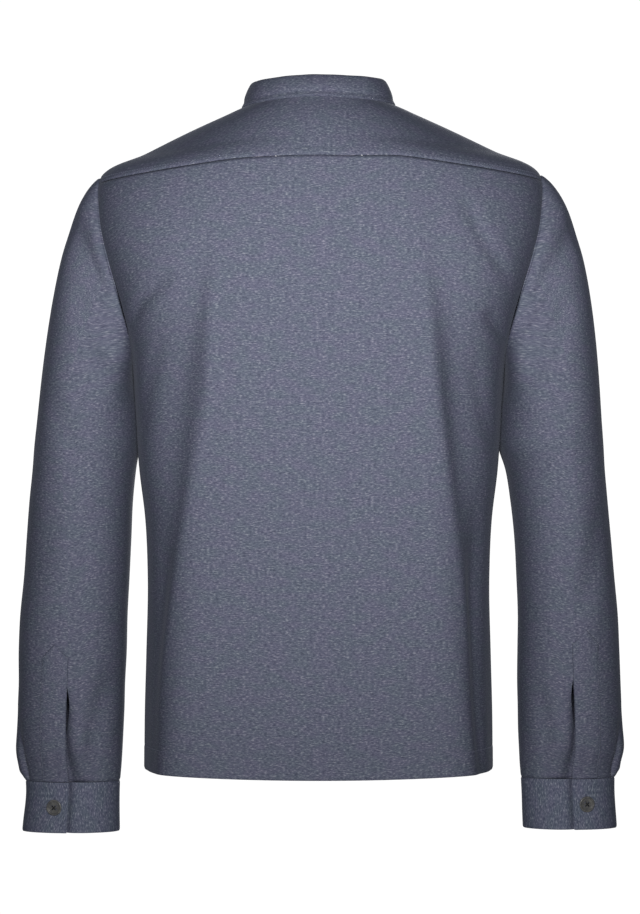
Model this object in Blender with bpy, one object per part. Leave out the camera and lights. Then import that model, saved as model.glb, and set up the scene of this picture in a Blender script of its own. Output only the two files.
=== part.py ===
"""Shirt jacket with a band collar, filled out as it is worn, for Blender 4.5.

Metres, +Z up. The front faces -Y, the back +Y, and the wearer's left is +X. The origin is the middle of the
neck opening, level with the neck points of the shoulders, where the garment hangs from its wearer.
Sizes in this file are millimetres and become metres when a mesh is made.
"""

import math

import bmesh
import bpy
import numpy as np
from mathutils import Matrix, Vector

# ---------------------------------------------------------------- driving sizes, mm
METRES = 0.001
CLOTH = 1.4  # one layer of knitted cloth
BAND_CLOTH = 2.4  # collar and cuffs: two layers and an interlining
STRIP_CLOTH = 1.2  # placket strips sewn on a panel
SEAM_GAP = 0.3  # between pieces that meet at a seam

FRONT_LAP = 15.0  # each front runs this far past the centre line
LAP_STEP = 0.95  # the left front stands out, and the right one in, by this where they lap
LAP_BLEND = (26.0, 70.0)  # from the centre line, where the step ends and where it starts
BAND_WIDTH = 32.0  # button band of the left front
BAND_COLUMNS = 4

COLLAR_HEIGHT = 29.0
COLLAR_LEAN_BACK = 16.0  # how far the collar's top leans in at the centre back
COLLAR_LEAN_SIDE = 11.0
COLLAR_LEAN_FRONT = 3.0
COLLAR_STEP = 0.85  # how far its ends stand off the fronts' own step, where they lap
COLLAR_CORNER = 5.0  # how much lower its top corners are

BUTTON_RADIUS = 8.2
BUTTON_THICK = 3.0
BUTTON_SIDES = 16
BUTTON_LIFT = 0.6  # more than the seam's gap, where the cloth below is round
BUTTON_HOLE_RADIUS = 0.9
BUTTON_HOLE_SPREAD = 1.75  # hole centre from the button's centre, along X and Y
FRONT_BUTTONS = 6
FIRST_BUTTON_DROP = 62.0  # below the front neck point
BUTTON_SPACING = 96.0

# ---------------------------------------------------------------- the body's form
# One row for each ring round the body, from hem to neck. level is the distance up the side from the hem.
# y is + at the back. n is the ring's roundness: 2 is an ellipse, more is squarer, less is a lens.
TORSO_COLUMNS = (
    "level", "half_width", "y_back", "y_front", "z_side", "z_back", "z_front", "n_back", "n_front",
)
TORSO_RINGS = (
    (0.0, 177.5, 106.0, -112.0, -675.0, -679.8, -679.0, 3.5, 2.6),
    (60.0, 177.0, 107.0, -113.0, -616.0, -619.0, -618.0, 3.3, 2.5),
    (118.0, 175.5, 107.0, -113.0, -559.0, -560.0, -560.0, 3.1, 2.4),
    (198.0, 174.0, 107.0, -114.0, -480.0, -480.0, -480.0, 2.9, 2.3),
    (258.0, 176.6, 108.0, -117.0, -420.0, -420.0, -420.0, 2.75, 2.2),
    (307.0, 182.5, 110.0, -121.0, -371.0, -371.0, -371.0, 2.65, 2.15),
    (378.0, 187.0, 114.0, -127.0, -300.0, -300.0, -300.0, 2.6, 2.1),
    (426.0, 191.0, 117.0, -129.0, -252.0, -252.0, -252.0, 2.65, 2.15),
    (478.0, 206.0, 119.0, -127.0, -200.0, -200.0, -200.0, 2.7, 2.25),
    (518.0, 219.0, 117.0, -122.0, -160.0, -160.0, -162.0, 2.6, 2.3),
    (558.0, 227.0, 111.0, -114.0, -120.0, -118.0, -130.0, 2.4, 2.25),
    (605.0, 222.0, 98.0, -103.0, -73.0, -62.0, -99.0, 2.1, 2.1),
    (657.0, 176.0, 86.0, -93.0, -49.0, -33.0, -87.0, 1.8, 1.85),
    (709.0, 130.0, 75.0, -83.0, -26.0, -13.0, -77.0, 1.8, 1.8),
    (765.0, 79.5, 62.0, -72.0, -3.5, 4.0, -67.0, 2.1, 2.1),
)
NECK_LEVEL = 765.0
SHOULDER_LEVEL = 605.0
ARMPIT_LEVEL = 420.0
HEM_LEVEL = 0.0
ARMHOLE_BACK = 44.0  # the armhole's reach from the side line to the back and to the front
ARMHOLE_FRONT = 48.0
ARMHOLE_BIAS = 0.25  # it is wider below its middle than above, by this share either way
ARMHOLE_STEPS = 28  # points round the armhole, which are the sleeve's columns too
YOKE_CORNER = 2  # the step of the armhole where the yoke meets the back, and on the other side the front
YOKE_SEAM_CENTRE = 611.0  # level of the back yoke seam at the centre back
YOKE_SEAM_FLAT = 0.33  # the share of it that runs level, before it drops to the armholes
BODY_ROWS = (0.0, 28.0, 62.0, 100.0, 140.0, 182.0, 224.0, 264.0, 302.0, 340.0, 374.0, 402.0)
# The wearer's right shoulder stands a little wider and higher than the left one.
RIGHT_SHOULDER_OUT = 3.5
RIGHT_SHOULDER_UP = 3.0

# The back hangs in a flat panel between two soft ridges, from the shoulder blades to the hem, and the front
# between two fainter ones. One row for each ridge: where it starts and ends, and how far it stands out.
RIDGE_COLUMNS = ("x_top", "z_top", "x_hem", "z_hem", "height")
BACK_RIDGES = (
    (103.0, -176.0, 168.0, -640.0, 5.0),
    (-106.0, -186.0, -170.0, -640.0, 5.5),
)
FRONT_RIDGES = (
    (112.0, -215.0, 146.0, -640.0, 2.6),
    (-108.0, -230.0, -141.0, -640.0, 3.0),
)
RIDGE_INNER_WIDTH = 42.0
RIDGE_OUTER_WIDTH = 15.0
VALLEY_OFFSET = 34.0  # the cloth dips this far outside the ridge
VALLEY_WIDTH = 20.0

# ---------------------------------------------------------------- the sleeves' form
# One row for each ring of a sleeve from under the arm to the cuff's lower edge, as for the left one.
SLEEVE_COLUMNS = ("z", "x_left", "half_left", "x_right", "half_right", "y", "half_depth", "tilt")
SLEEVE_RINGS = (
    (-325.0, 235.8, 51.6, 237.0, 52.2, -9.0, 63.0, 20.0),
    (-345.0, 236.9, 53.2, 237.6, 53.5, -12.0, 62.0, 20.0),
    (-371.0, 239.9, 52.8, 242.2, 50.6, -16.0, 60.5, 18.0),
    (-402.0, 243.2, 53.2, 246.3, 49.8, -20.0, 59.0, 14.0),
    (-440.0, 245.7, 54.0, 250.2, 49.6, -25.0, 57.0, 9.0),
    (-480.0, 248.2, 54.3, 253.0, 50.2, -30.0, 55.0, 5.0),
    (-520.0, 251.4, 55.0, 255.8, 51.2, -34.5, 53.0, 2.0),
    (-556.0, 252.8, 55.2, 256.8, 52.2, -38.0, 51.0, 0.0),
    (-590.0, 254.0, 54.4, 257.8, 53.0, -41.0, 49.0, 0.0),
    (-612.0, 254.9, 54.7, 258.8, 53.2, -42.5, 47.5, 0.0),
    (-638.0, 255.4, 54.0, 259.2, 53.0, -44.0, 45.5, 0.0),
    (-659.0, 255.2, 52.8, 259.0, 52.0, -45.0, 42.0, 0.0),
    (-674.0, 254.0, 50.6, 257.2, 49.6, -46.0, 38.0, 0.0),
    (-687.5, 253.4, 48.8, 257.2, 48.5, -46.5, 34.5, 0.0),
    (-740.0, 255.5, 50.4, 259.4, 48.6, -49.0, 35.0, 0.0),
)
CUFF_TOP_Z = -687.5
CUFF_DROP = 52.0
# How the cloth leaves the armhole: the direction of a sleeve's lines there, going round from the top by the back.
CAP_START_COLUMNS = ("out", "back", "down")
CAP_START = {"top": (140.0, 0.0, 75.0), "back": (58.0, 26.0, 130.0),
             "under": (14.0, 0.0, 64.0), "front": (58.0, -26.0, 130.0)}
CAP_END = 150.0  # length of the lines' direction where the first ring starts
CAP_ROWS = (0.0, 0.06, 0.14, 0.23, 0.33, 0.44, 0.56, 0.69, 0.84, 1.0)
SLIT_STEP = 7  # the sleeve's column where the cuff opening is, at the back
TURN = -3.0  # degrees by which the rings turn from the armhole to the cuff

# The cuff opening: share of the way from its top to the cuff, how far the under edge laps below the upper
# one (less than 0 is a gap), and how deep it lies there.
SLIT_COLUMNS = ("share", "lap", "dip")
SLIT = ((0.0, -0.3, 0.0), (0.2, -2.6, 2.4), (0.45, -0.8, 4.2), (0.7, 6.0, 5.0), (1.0, 13.0, 3.4))
SLIT_BLEND = 24.0  # arc over which the cloth goes down to its dip

# The pleat at the cuff: a fold that stands out at the outer side, with a sharp valley behind it.
PLEAT_RISE = 5.0
PLEAT_VALLEY = 4.5
PLEAT_ANGLE = 12.0  # degrees from the outer side towards the back, where the valley is
PLEAT_LENGTH = 75.0

# Soft folds across a sleeve's back, each a valley from one point to another as seen from behind.
FOLD_COLUMNS = ("side", "x_start", "z_start", "x_end", "z_end", "depth", "width")
SLEEVE_FOLDS = (
    (1.0, 250.0, -122.0, 203.0, -205.0, 4.5, 15.0),
    (1.0, 244.0, -186.0, 205.0, -262.0, 3.0, 15.0),
    (-1.0, 262.0, -122.0, 206.0, -214.0, 4.5, 15.0),
    (-1.0, 250.0, -200.0, 212.0, -280.0, 3.0, 15.0),
    (-1.0, 287.0, -415.0, 262.0, -540.0, 3.0, 14.0),
    (1.0, 215.0, -585.0, 234.0, -680.0, 3.0, 12.0),
)

PLACKET_WIDTH = 28.5
PLACKET_POINT = 14.0
PLACKET_LIFT = 0.5
CUFF_UNDERLAP = 28.0
CUFF_STEP = 3.0  # how much deeper the under end of the cuff lies
CUFF_BUTTON_INSET = 14.0
CUFF_STEPS = 34
# One row for each sleeve: its side, how much lower the cuff hangs, where the placket's point and the
# opening's upper end are, and how much further out its cap stands.
SIDE_COLUMNS = ("side", "drop", "placket_tip_z", "slit_top_z", "cap_out")
SIDES = {"left": (1.0, 3.5, -550.0, -589.0, 0.0), "right": (-1.0, 0.0, -534.0, -582.0, 26.0)}


# ---------------------------------------------------------------- small geometry tools
def row_at(rows, value):
    """A table's row at any value of its first column, on a smooth curve through the rows."""
    table = np.array(rows, float)
    keys = table[:, 0]
    if keys[0] > keys[-1]:
        table, keys = table[::-1], keys[::-1]
    slopes = np.gradient(table, keys, axis=0)
    i = int(np.clip(np.searchsorted(keys, value) - 1, 0, len(keys) - 2))
    span = keys[i + 1] - keys[i]
    t = (value - keys[i]) / span
    if not 0.0 <= t <= 1.0:  # past the table's ends, straight on
        end = i if t < 0.0 else i + 1
        return table[end] + slopes[end] * (value - keys[end])
    t2, t3 = t * t, t * t * t
    return (
        (2 * t3 - 3 * t2 + 1) * table[i]
        + (t3 - 2 * t2 + t) * span * slopes[i]
        + (3 * t2 - 2 * t3) * table[i + 1]
        + (t3 - t2) * span * slopes[i + 1]
    )


def smoothstep(low, high, value):
    t = min(1.0, max(0.0, (value - low) / (high - low)))
    return t * t * (3.0 - 2.0 * t)


def unit(v):
    return v / np.linalg.norm(v, axis=-1, keepdims=True)


def grid_normals(points, outward, closed=False):
    """Unit normals of a grid of points, turned to the side of the directions outward."""
    if closed:
        around = np.concatenate([points[:, -2:-1], points, points[:, 1:2]], axis=1)
        across = (around[:, 2:] - around[:, :-2]) / 2.0
    else:
        across = np.gradient(points, axis=1)
    normals = unit(np.cross(across, np.gradient(points, axis=0)))
    return normals * np.sign((normals * outward).sum(-1, keepdims=True))


def pulled_in(points, top=False, bottom=False, left=False, right=False):
    """The grid with the named edges moved in by half a seam's gap."""
    out = points.copy()
    for wanted, edge, inner in ((top, -1, -2), (bottom, 0, 1)):
        if wanted:
            out[edge] += unit(points[inner] - points[edge]) * SEAM_GAP / 2
    for wanted, edge, inner in ((right, -1, -2), (left, 0, 1)):
        if wanted:
            out[:, edge] += unit(points[:, inner] - points[:, edge]) * SEAM_GAP / 2
    return out


# ---------------------------------------------------------------- the body's surface
def quarter(level, front):
    """One quarter of a ring, from the centre line to the side: arc lengths, x and y."""
    ring = dict(zip(TORSO_COLUMNS, row_at(TORSO_RINGS, level)))
    n = ring["n_front"] if front else ring["n_back"]
    depth = ring["y_front"] if front else ring["y_back"]
    angle = np.linspace(0.0, math.pi / 2, 241)
    x = ring["half_width"] * np.sin(angle) ** (2.0 / n)
    y = depth * np.cos(angle).clip(0.0) ** (2.0 / n)
    arc = np.concatenate([[0.0], np.cumsum(np.hypot(np.diff(x), np.diff(y)))])
    return ring, arc, x, y


def ridge_offset(rows, x, z):
    """How far a side's ridges and the dips beside them move the cloth out."""
    offset = 0.0
    for row in rows:
        ridge = dict(zip(RIDGE_COLUMNS, row))
        down = (ridge["z_top"] - z) / (ridge["z_top"] - ridge["z_hem"])
        place = abs(ridge["x_top"]) + (abs(ridge["x_hem"]) - abs(ridge["x_top"])) * max(0.0, down)
        away = abs(x) - place
        if x * ridge["x_top"] <= 0.0:
            continue
        height = ridge["height"] * smoothstep(-0.12, 0.28, down) * (1.0 - 0.45 * smoothstep(0.6, 1.1, down))
        width = RIDGE_INNER_WIDTH if away < 0.0 else RIDGE_OUTER_WIDTH
        offset += height * math.exp(-((away / width) ** 2))
        offset -= 0.7 * height * math.exp(-(((away - VALLEY_OFFSET) / VALLEY_WIDTH) ** 2))
    return offset


def body_point(s, level):
    """A point on the body's outside. s is 0 at the centre back, 1 at the left side, 2 at the centre front."""
    s = (s + 2.0) % 4.0 - 2.0
    side, s = math.copysign(1.0, s), abs(s)
    front = s > 1.0
    share = 2.0 - s if front else s
    ring, arc, xs, ys = quarter(level, front)
    x = float(np.interp(share * arc[-1], arc, xs)) * side
    y = float(np.interp(share * arc[-1], arc, ys))
    centre_z = ring["z_front"] if front else ring["z_back"]
    z = ring["z_side"] + (centre_z - ring["z_side"]) * math.cos(share * math.pi / 2) ** 2
    if front:
        y -= ridge_offset(FRONT_RIDGES, x, z) * smoothstep(1.0, 1.2, s)
    else:
        y += ridge_offset(BACK_RIDGES, x, z) * (1.0 - smoothstep(0.8, 1.0, s))
    if side < 0.0:
        upper = smoothstep(ARMPIT_LEVEL - 60.0, SHOULDER_LEVEL - 30.0, level)
        x, z = (
            x - upper * RIGHT_SHOULDER_OUT * smoothstep(110.0, 215.0, -x),
            z + upper * RIGHT_SHOULDER_UP * smoothstep(20.0, 95.0, -x),
        )
    return np.array((x, y, z))


def body_normal(s, level):
    small_s, small_level = 0.02, 3.0
    across = body_point(s + small_s, level) - body_point(s - small_s, level)
    up = body_point(s, level + small_level) - body_point(s, level - small_level)
    return unit(np.cross(across, up)) * -1.0


def side_length(level, front=True):
    return float(quarter(level, front)[1][-1])


def armhole(step):
    """s and level of one of the armhole's points. Step 0 is the shoulder point, and the back comes next."""
    angle = 2.0 * math.pi * step / ARMHOLE_STEPS
    middle = (SHOULDER_LEVEL + ARMPIT_LEVEL) / 2.0
    half = (SHOULDER_LEVEL - ARMPIT_LEVEL) / 2.0
    level = middle + half * math.cos(angle)
    reach = ARMHOLE_BACK if math.sin(angle) > 0.0 else ARMHOLE_FRONT
    reach *= math.sin(angle) * (1.0 - ARMHOLE_BIAS * math.cos(angle))
    return 1.0 - reach / side_length(level, math.sin(angle) < 0.0), level


def lap_offset(side, x):
    """How far a front stands out from the body's form: the left one laps over the right."""
    return side * LAP_STEP * (1.0 - smoothstep(*LAP_BLEND, side * x))


def panel(s_rows, level_rows, side=0.0):
    """Points and normals of a panel, given as rows of (s, level). side is 1 or -1 on a front."""
    shape = (*np.shape(s_rows), 3)
    points, normals = np.empty(shape), np.empty(shape)
    for i, (s_row, level_row) in enumerate(zip(s_rows, level_rows)):
        for j, (s, level) in enumerate(zip(s_row, level_row)):
            points[i, j], normals[i, j] = body_point(s, level), body_normal(s, level)
            if side:
                points[i, j] += normals[i, j] * lap_offset(side, points[i, j][0])
    return points, normals


# ---------------------------------------------------------------- meshes
def wall(name, outer, inner, material, joined_rows=0):
    """A closed wall between two grids of points. The first joined_rows rows close into a tube."""
    rows, columns = outer.shape[:2]
    mesh = bmesh.new()
    layers = []
    for grid in (outer, inner):
        ids = []
        for i in range(rows):
            row = [mesh.verts.new(Vector(grid[i, j]) * METRES) for j in range(columns - (i < joined_rows))]
            ids.append(row + row[:1] if i < joined_rows else row)
        layers.append(ids)
    out, into = layers
    for i in range(rows - 1):
        for j in range(columns - 1):
            mesh.faces.new((out[i][j], out[i][j + 1], out[i + 1][j + 1], out[i + 1][j]))
            mesh.faces.new((into[i][j], into[i + 1][j], into[i + 1][j + 1], into[i][j + 1]))
        if i + 1 >= joined_rows:
            for j in (0, columns - 1):
                mesh.faces.new((out[i][j], out[i + 1][j], into[i + 1][j], into[i][j]))
    for i in (0, rows - 1):
        for j in range(columns - 1):
            mesh.faces.new((out[i][j], out[i][j + 1], into[i][j + 1], into[i][j]))
    bmesh.ops.recalc_face_normals(mesh, faces=mesh.faces)
    return finished(name, mesh, material)


def finished(name, mesh, material):
    data = bpy.data.meshes.new(name)
    mesh.to_mesh(data)
    mesh.free()
    data.shade_smooth()
    data.set_sharp_from_angle(angle=math.radians(40.0))
    data.materials.append(material)
    placed = bpy.data.objects.new(name, data)
    bpy.context.scene.collection.objects.link(placed)
    return placed


def cloth_wall(name, points, normals, thick, material):
    return wall(name, points, points - normals * thick, material)


def made_material(name, colour, roughness):
    material = bpy.data.materials.new(name)
    material.use_nodes = True
    shader = material.node_tree.nodes["Principled BSDF"]
    shader.inputs["Base Color"].default_value = (*colour, 1.0)
    shader.inputs["Roughness"].default_value = roughness
    shader.inputs["Metallic"].default_value = 0.0
    return material


# ---------------------------------------------------------------- body pieces
def armhole_rows(end):
    """The armhole steps from just above the armpit up to the yoke's corner, on the back or the front."""
    half_way = ARMHOLE_STEPS // 2
    steps = range(half_way - 1, YOKE_CORNER - 1, -1)
    return [step if end == "back" else ARMHOLE_STEPS - step for step in steps]


def panel_rows(end, neck_rows, middle_level):
    """The rows of a panel: s and level where each starts, and its level on the centre line."""
    starts = [(1.0, level) for level in (*BODY_ROWS, ARMPIT_LEVEL)]
    starts += [armhole(step) if step <= ARMHOLE_STEPS // 2 else armhole(step - ARMHOLE_STEPS)
               for step in armhole_rows(end)]
    corner_s, corner_level = starts[-1]
    for k in range(neck_rows):
        starts.append((corner_s, corner_level + (NECK_LEVEL - corner_level) * (k + 1) / neck_rows))
    upper = len(starts) - len(BODY_ROWS) + 1
    middles = list(BODY_ROWS[:-1]) + list(np.linspace(BODY_ROWS[-1], middle_level, upper))
    return [(s, level, middle) for (s, level), middle in zip(starts, middles)]


def yoke_drop(share):
    """How far down to the armhole the yoke's back seam has come, for a share of the way there."""
    return max(0.0, (abs(share) - YOKE_SEAM_FLAT) / (1.0 - YOKE_SEAM_FLAT)) ** 1.12


def make_back(material):
    """The back: side seams and armholes at its sides, the yoke seam on top."""
    columns = np.linspace(-1.0, 1.0, 21)
    rows = panel_rows("back", 0, YOKE_SEAM_CENTRE)
    seam = np.array([1.0 - yoke_drop(c) for c in columns])
    s_rows, level_rows = [], []
    for s_end, level, middle in rows:
        s_rows.append(columns * s_end)
        near_seam = smoothstep(ARMPIT_LEVEL, YOKE_SEAM_CENTRE, middle)
        shape = seam * near_seam + (1.0 - np.abs(columns) ** 2.5) * (1.0 - near_seam)
        level_rows.append(level + (middle - level) * shape)
    points, normals = panel(s_rows, level_rows)
    cloth_wall("back", pulled_in(points, top=True, left=True, right=True), normals, CLOTH, material)


def yoke_edge():
    """The yoke's outer edge, from the front corner on the left round the back to the one on the right."""
    corner_s, corner_level = armhole(YOKE_CORNER)
    sides = [armhole(step) for step in range(-YOKE_CORNER, YOKE_CORNER + 1)]
    columns = np.linspace(1.0, -1.0, 21)
    seam = [
        (corner_s * c, YOKE_SEAM_CENTRE + (corner_level - YOKE_SEAM_CENTRE) * yoke_drop(c))
        for c in columns[1:-1]
    ]
    return sides + seam + [(-s, level) for s, level in reversed(sides)]


def make_yoke(material):
    """The yoke: over the shoulders and across the upper back, in one piece, from the neck out."""
    edge = yoke_edge()
    front_s = abs(edge[0][0])
    rows = 6
    s_rows = np.empty((rows, len(edge)))
    level_rows = np.empty((rows, len(edge)))
    spread = np.linspace(front_s, -front_s, len(edge))
    for j, (s, level) in enumerate(edge):
        for i in range(rows):
            share = i / (rows - 1)
            s_rows[i, j] = s + (spread[j] - s) * share ** 1.5
            level_rows[i, j] = level + (NECK_LEVEL - level) * share
    points, normals = panel(s_rows, level_rows)
    points = pulled_in(points, top=True, bottom=True, left=True, right=True)
    cloth_wall("yoke", points, normals, CLOTH, material)


def front_grid(side):
    """s and level of a front's points. Its rows start at the side seam, the armhole or the yoke."""
    columns = np.linspace(0.0, 1.0, 12)
    s_rows, level_rows = [], []
    for s_start, level, middle in panel_rows("front", 5, NECK_LEVEL):
        level_row = level + (middle - level) * (1.0 - (1.0 - columns) ** 2.5)
        lengths = np.array([side_length(value) for value in level_row])
        s_edges = 2.0 + FRONT_LAP / lengths
        s_band = s_edges - BAND_WIDTH / lengths
        outer = s_start + (s_band - s_start) * np.minimum(1.0, columns * 11.0 / (12 - BAND_COLUMNS))
        inner = np.maximum(0.0, np.arange(12) - (12 - BAND_COLUMNS)) / (BAND_COLUMNS - 1)
        s_rows.append((outer + (s_edges - s_band) * inner) * side)
        level_rows.append(level_row)
    return np.array(s_rows), np.array(level_rows)


def make_front(side, name, material):
    points, normals = panel(*front_grid(side), side)
    cloth_wall(name, pulled_in(points, top=True, left=True), normals, CLOTH, material)
    return points, normals


def make_band(front_points, front_normals, material):
    """The button band, laid on the edge columns of the left front."""
    points, normals = front_points[:, -BAND_COLUMNS:].copy(), front_normals[:, -BAND_COLUMNS:]
    points[-1] += unit(points[-2] - points[-1]) * 3.0 * SEAM_GAP
    cloth_wall("front_band", points + normals * (STRIP_CLOTH + SEAM_GAP), normals, STRIP_CLOTH, material)


# ---------------------------------------------------------------- collar
def collar_point(s, height):
    """A point on the collar's outside and the way into the neck there. height is 0 to 1 up the collar."""
    side, turn = math.copysign(1.0, s), abs(s)
    base = body_point(s, NECK_LEVEL)
    inward = unit(np.array((-base[0], -base[1] - 4.0, 0.0)))
    edge = unit(base - body_point(s, NECK_LEVEL - 3.0))
    if turn < 1.0:
        lean = COLLAR_LEAN_SIDE + (COLLAR_LEAN_BACK - COLLAR_LEAN_SIDE) * math.cos(turn * math.pi / 2) ** 2
    else:
        lean = COLLAR_LEAN_SIDE + (COLLAR_LEAN_FRONT - COLLAR_LEAN_SIDE) * math.sin((turn - 1.0) * math.pi / 2) ** 2
        base = base + body_normal(s, NECK_LEVEL) * lap_offset(side, base[0])
    rise = math.sqrt(COLLAR_HEIGHT ** 2 - lean ** 2)
    curve = height + 0.12 * math.sin(height * math.pi)
    return base + edge * 2.0 * SEAM_GAP + inward * lean * height + np.array((0.0, 0.0, rise * curve)), inward


def make_collar(material):
    """The collar band: one strip from the under end at the right to the upper end at the left."""
    length = side_length(NECK_LEVEL)
    ends = 2.0 + (FRONT_LAP - 0.5) / length
    turns = np.linspace(-ends, ends, 45)
    heights = np.array((0.0, 0.35, 0.7, 1.0))
    points = np.empty((len(heights), len(turns), 3))
    inwards = np.empty_like(points)
    for j, s in enumerate(turns):
        past = ends - abs(s)
        step = (1.0 - smoothstep(2.2 * (ends - 2.0), 0.6, past)) * COLLAR_STEP
        rounding = COLLAR_CORNER * (1.0 - smoothstep(0.0, 0.09, past)) ** 2
        for i, height in enumerate(heights):
            point, inward = collar_point(s, height)
            points[i, j] = point - inward * step * math.copysign(1.0, s)
            points[i, j][2] -= rounding * height ** 4
            inwards[i, j] = inward
    normals = grid_normals(points, -inwards)
    wall("collar", points, points - normals * BAND_CLOTH, material)
    return points, normals


# ---------------------------------------------------------------- sleeves
def ring_frame(side, z):
    """A sleeve ring's middle, and its two half axes: across, and from front to back."""
    ring = dict(zip(SLEEVE_COLUMNS, row_at(SLEEVE_RINGS, z)))
    name = "left" if side > 0.0 else "right"
    tilt = math.radians(ring["tilt"])
    depth = ring["half_depth"]
    width = math.sqrt(ring["half_" + name] ** 2 - (depth * math.sin(tilt)) ** 2) / math.cos(tilt)
    across = width * np.array((math.cos(tilt), -math.sin(tilt), 0.0))
    back = depth * np.array((math.sin(tilt), math.cos(tilt), 0.0))
    return np.array((ring["x_" + name], ring["y"], z)), across, back


def sleeve_ring(side, z, angle):
    """A point on a sleeve's ring at that height. angle is 0 at the outer side and goes by the back.

    Sleeves are worked out with x outwards, and the right one is turned to its side at the end.
    """
    middle, across, back = ring_frame(side, z)
    turned = angle + math.radians(TURN) * smoothstep(SLEEVE_RINGS[0][0], CUFF_TOP_Z, z)
    return middle + across * math.cos(turned) + back * math.sin(turned)


def cap_direction(side, angle):
    """The way a sleeve's line leaves the armhole at that angle."""
    top, back, under, front = (np.array(CAP_START[k]) for k in ("top", "back", "under", "front"))
    mean = (top + back + under + front) / 4.0
    once = (top - under) / 2.0 * math.cos(angle) + (back - front) / 2.0 * math.sin(angle)
    twice = (top + under - back - front) / 4.0 * math.cos(2.0 * angle)
    out, backwards, down = mean + once + twice
    if side < 0.0:
        out += SIDES["right"][4] * math.cos(angle / 2.0) ** 2
    return np.array((out, backwards, -down))


def armhole_point(side, step):
    s, level = armhole(step)
    return body_point(side * s, level) * (side, 1.0, 1.0)


def cap_point(side, step, share):
    """A point between the armhole, where share is 0, and the first ring."""
    angle = 2.0 * math.pi * step / ARMHOLE_STEPS
    start = armhole_point(side, step)
    end = sleeve_ring(side, SLEEVE_RINGS[0][0], angle)
    below = sleeve_ring(side, SLEEVE_RINGS[1][0], angle)
    arrive = unit(below - end) * min(CAP_END, 1.15 * np.linalg.norm(end - start))
    t2, t3 = share ** 2, share ** 3
    return (
        (2 * t3 - 3 * t2 + 1) * start
        + (t3 - 2 * t2 + share) * cap_direction(side, angle)
        + (3 * t2 - 2 * t3) * end
        + (t3 - t2) * arrive
    )


def pleat_offset(angle, z):
    """How far the cuff's pleat moves the cloth out from the ring."""
    near = smoothstep(CUFF_TOP_Z + PLEAT_LENGTH, CUFF_TOP_Z + 14.0, z)
    near *= 1.0 - 0.8 * smoothstep(CUFF_TOP_Z + 10.0, CUFF_TOP_Z, z)
    degrees = (math.degrees(angle) + 180.0) % 360.0 - 180.0
    valley = math.exp(-(((degrees - PLEAT_ANGLE) / 7.0) ** 2)) * PLEAT_VALLEY
    fold = math.exp(-(((degrees - PLEAT_ANGLE + 22.0) / 13.0) ** 2)) * PLEAT_RISE
    return near * (fold - valley)


def fold_offset(side, point, backwards):
    """How far in the folds move a sleeve's point. backwards is how much the cloth there faces the back."""
    depth = 0.0
    for row in SLEEVE_FOLDS:
        fold = dict(zip(FOLD_COLUMNS, row))
        if fold["side"] != side:
            continue
        start = np.array((fold["x_start"], fold["z_start"]))
        line = np.array((fold["x_end"], fold["z_end"])) - start
        share = np.dot(point[[0, 2]] - start, line) / np.dot(line, line)
        away = np.linalg.norm(point[[0, 2]] - start - line * share)
        ends = smoothstep(-0.3, 0.2, share) * (1.0 - smoothstep(0.8, 1.3, share))
        depth += fold["depth"] * ends * math.exp(-((away / fold["width"]) ** 2))
    return depth * smoothstep(-0.1, 0.35, backwards)


def sleeve_columns(z, slit_top):
    """Angles and dips of a row of the sleeve from the opening's upper edge round to its under edge."""
    steps = SLIT_STEP - np.arange(ARMHOLE_STEPS + 1)
    angles = 2.0 * math.pi * steps / ARMHOLE_STEPS
    dips = np.zeros(len(angles))
    if z >= slit_top:
        return angles, dips
    half_width = row_at(SLEEVE_RINGS, z)[2]
    share = (slit_top - z) / (slit_top - CUFF_TOP_Z)
    _, lap, dip = row_at(SLIT, min(1.0, share))
    past = np.arange(ARMHOLE_STEPS, -1, -1) * 2.0 * math.pi / ARMHOLE_STEPS * half_width
    near = np.array([1.0 - smoothstep(0.0, SLIT_BLEND, a) for a in past])
    return angles - near * lap / half_width, near * dip


def sleeve_rows(slit_top):
    """Heights of the sleeve's rows below its cap, one of them at the opening's upper end."""
    others = [row[0] for row in SLEEVE_RINGS[1:-1] if abs(row[0] - slit_top) > 9.0]
    return sorted(others + [slit_top], reverse=True)


def sleeve_grid(side, slit_top):
    """Points of a sleeve's outside, rows down from the armhole, and how many of the rows close."""
    z_rows = sleeve_rows(slit_top)
    steps = SLIT_STEP - np.arange(ARMHOLE_STEPS + 1)
    rows = [[cap_point(side, step, share) for step in steps] for share in CAP_ROWS]
    for z in z_rows:
        row = []
        for angle, dip in zip(*sleeve_columns(z, slit_top)):
            point = sleeve_ring(side, z, angle)
            outward = unit(point - ring_frame(side, z)[0])
            row.append(point + outward * (pleat_offset(angle, z) - dip))
        rows.append(row)
    points = np.array(rows)
    middles = points[:, :-1].mean(axis=1, keepdims=True)
    normals = grid_normals(points, points - middles, closed=True)
    for i in range(1, len(points)):
        for j in range(points.shape[1]):
            points[i, j] -= normals[i, j] * fold_offset(side, points[i, j], normals[i, j][1])
    joined = len(CAP_ROWS) + z_rows.index(slit_top) + 1
    return points, joined


def in_place(points, side, drop):
    """A sleeve's points let down by drop towards the cuff, and turned to their side."""
    out = points.copy()
    start = SLEEVE_RINGS[3][0]
    out[..., 2] -= drop * np.clip((start - out[..., 2]) / (start - CUFF_TOP_Z), 0.0, 1.0)
    out[..., 0] *= side
    return out


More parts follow.
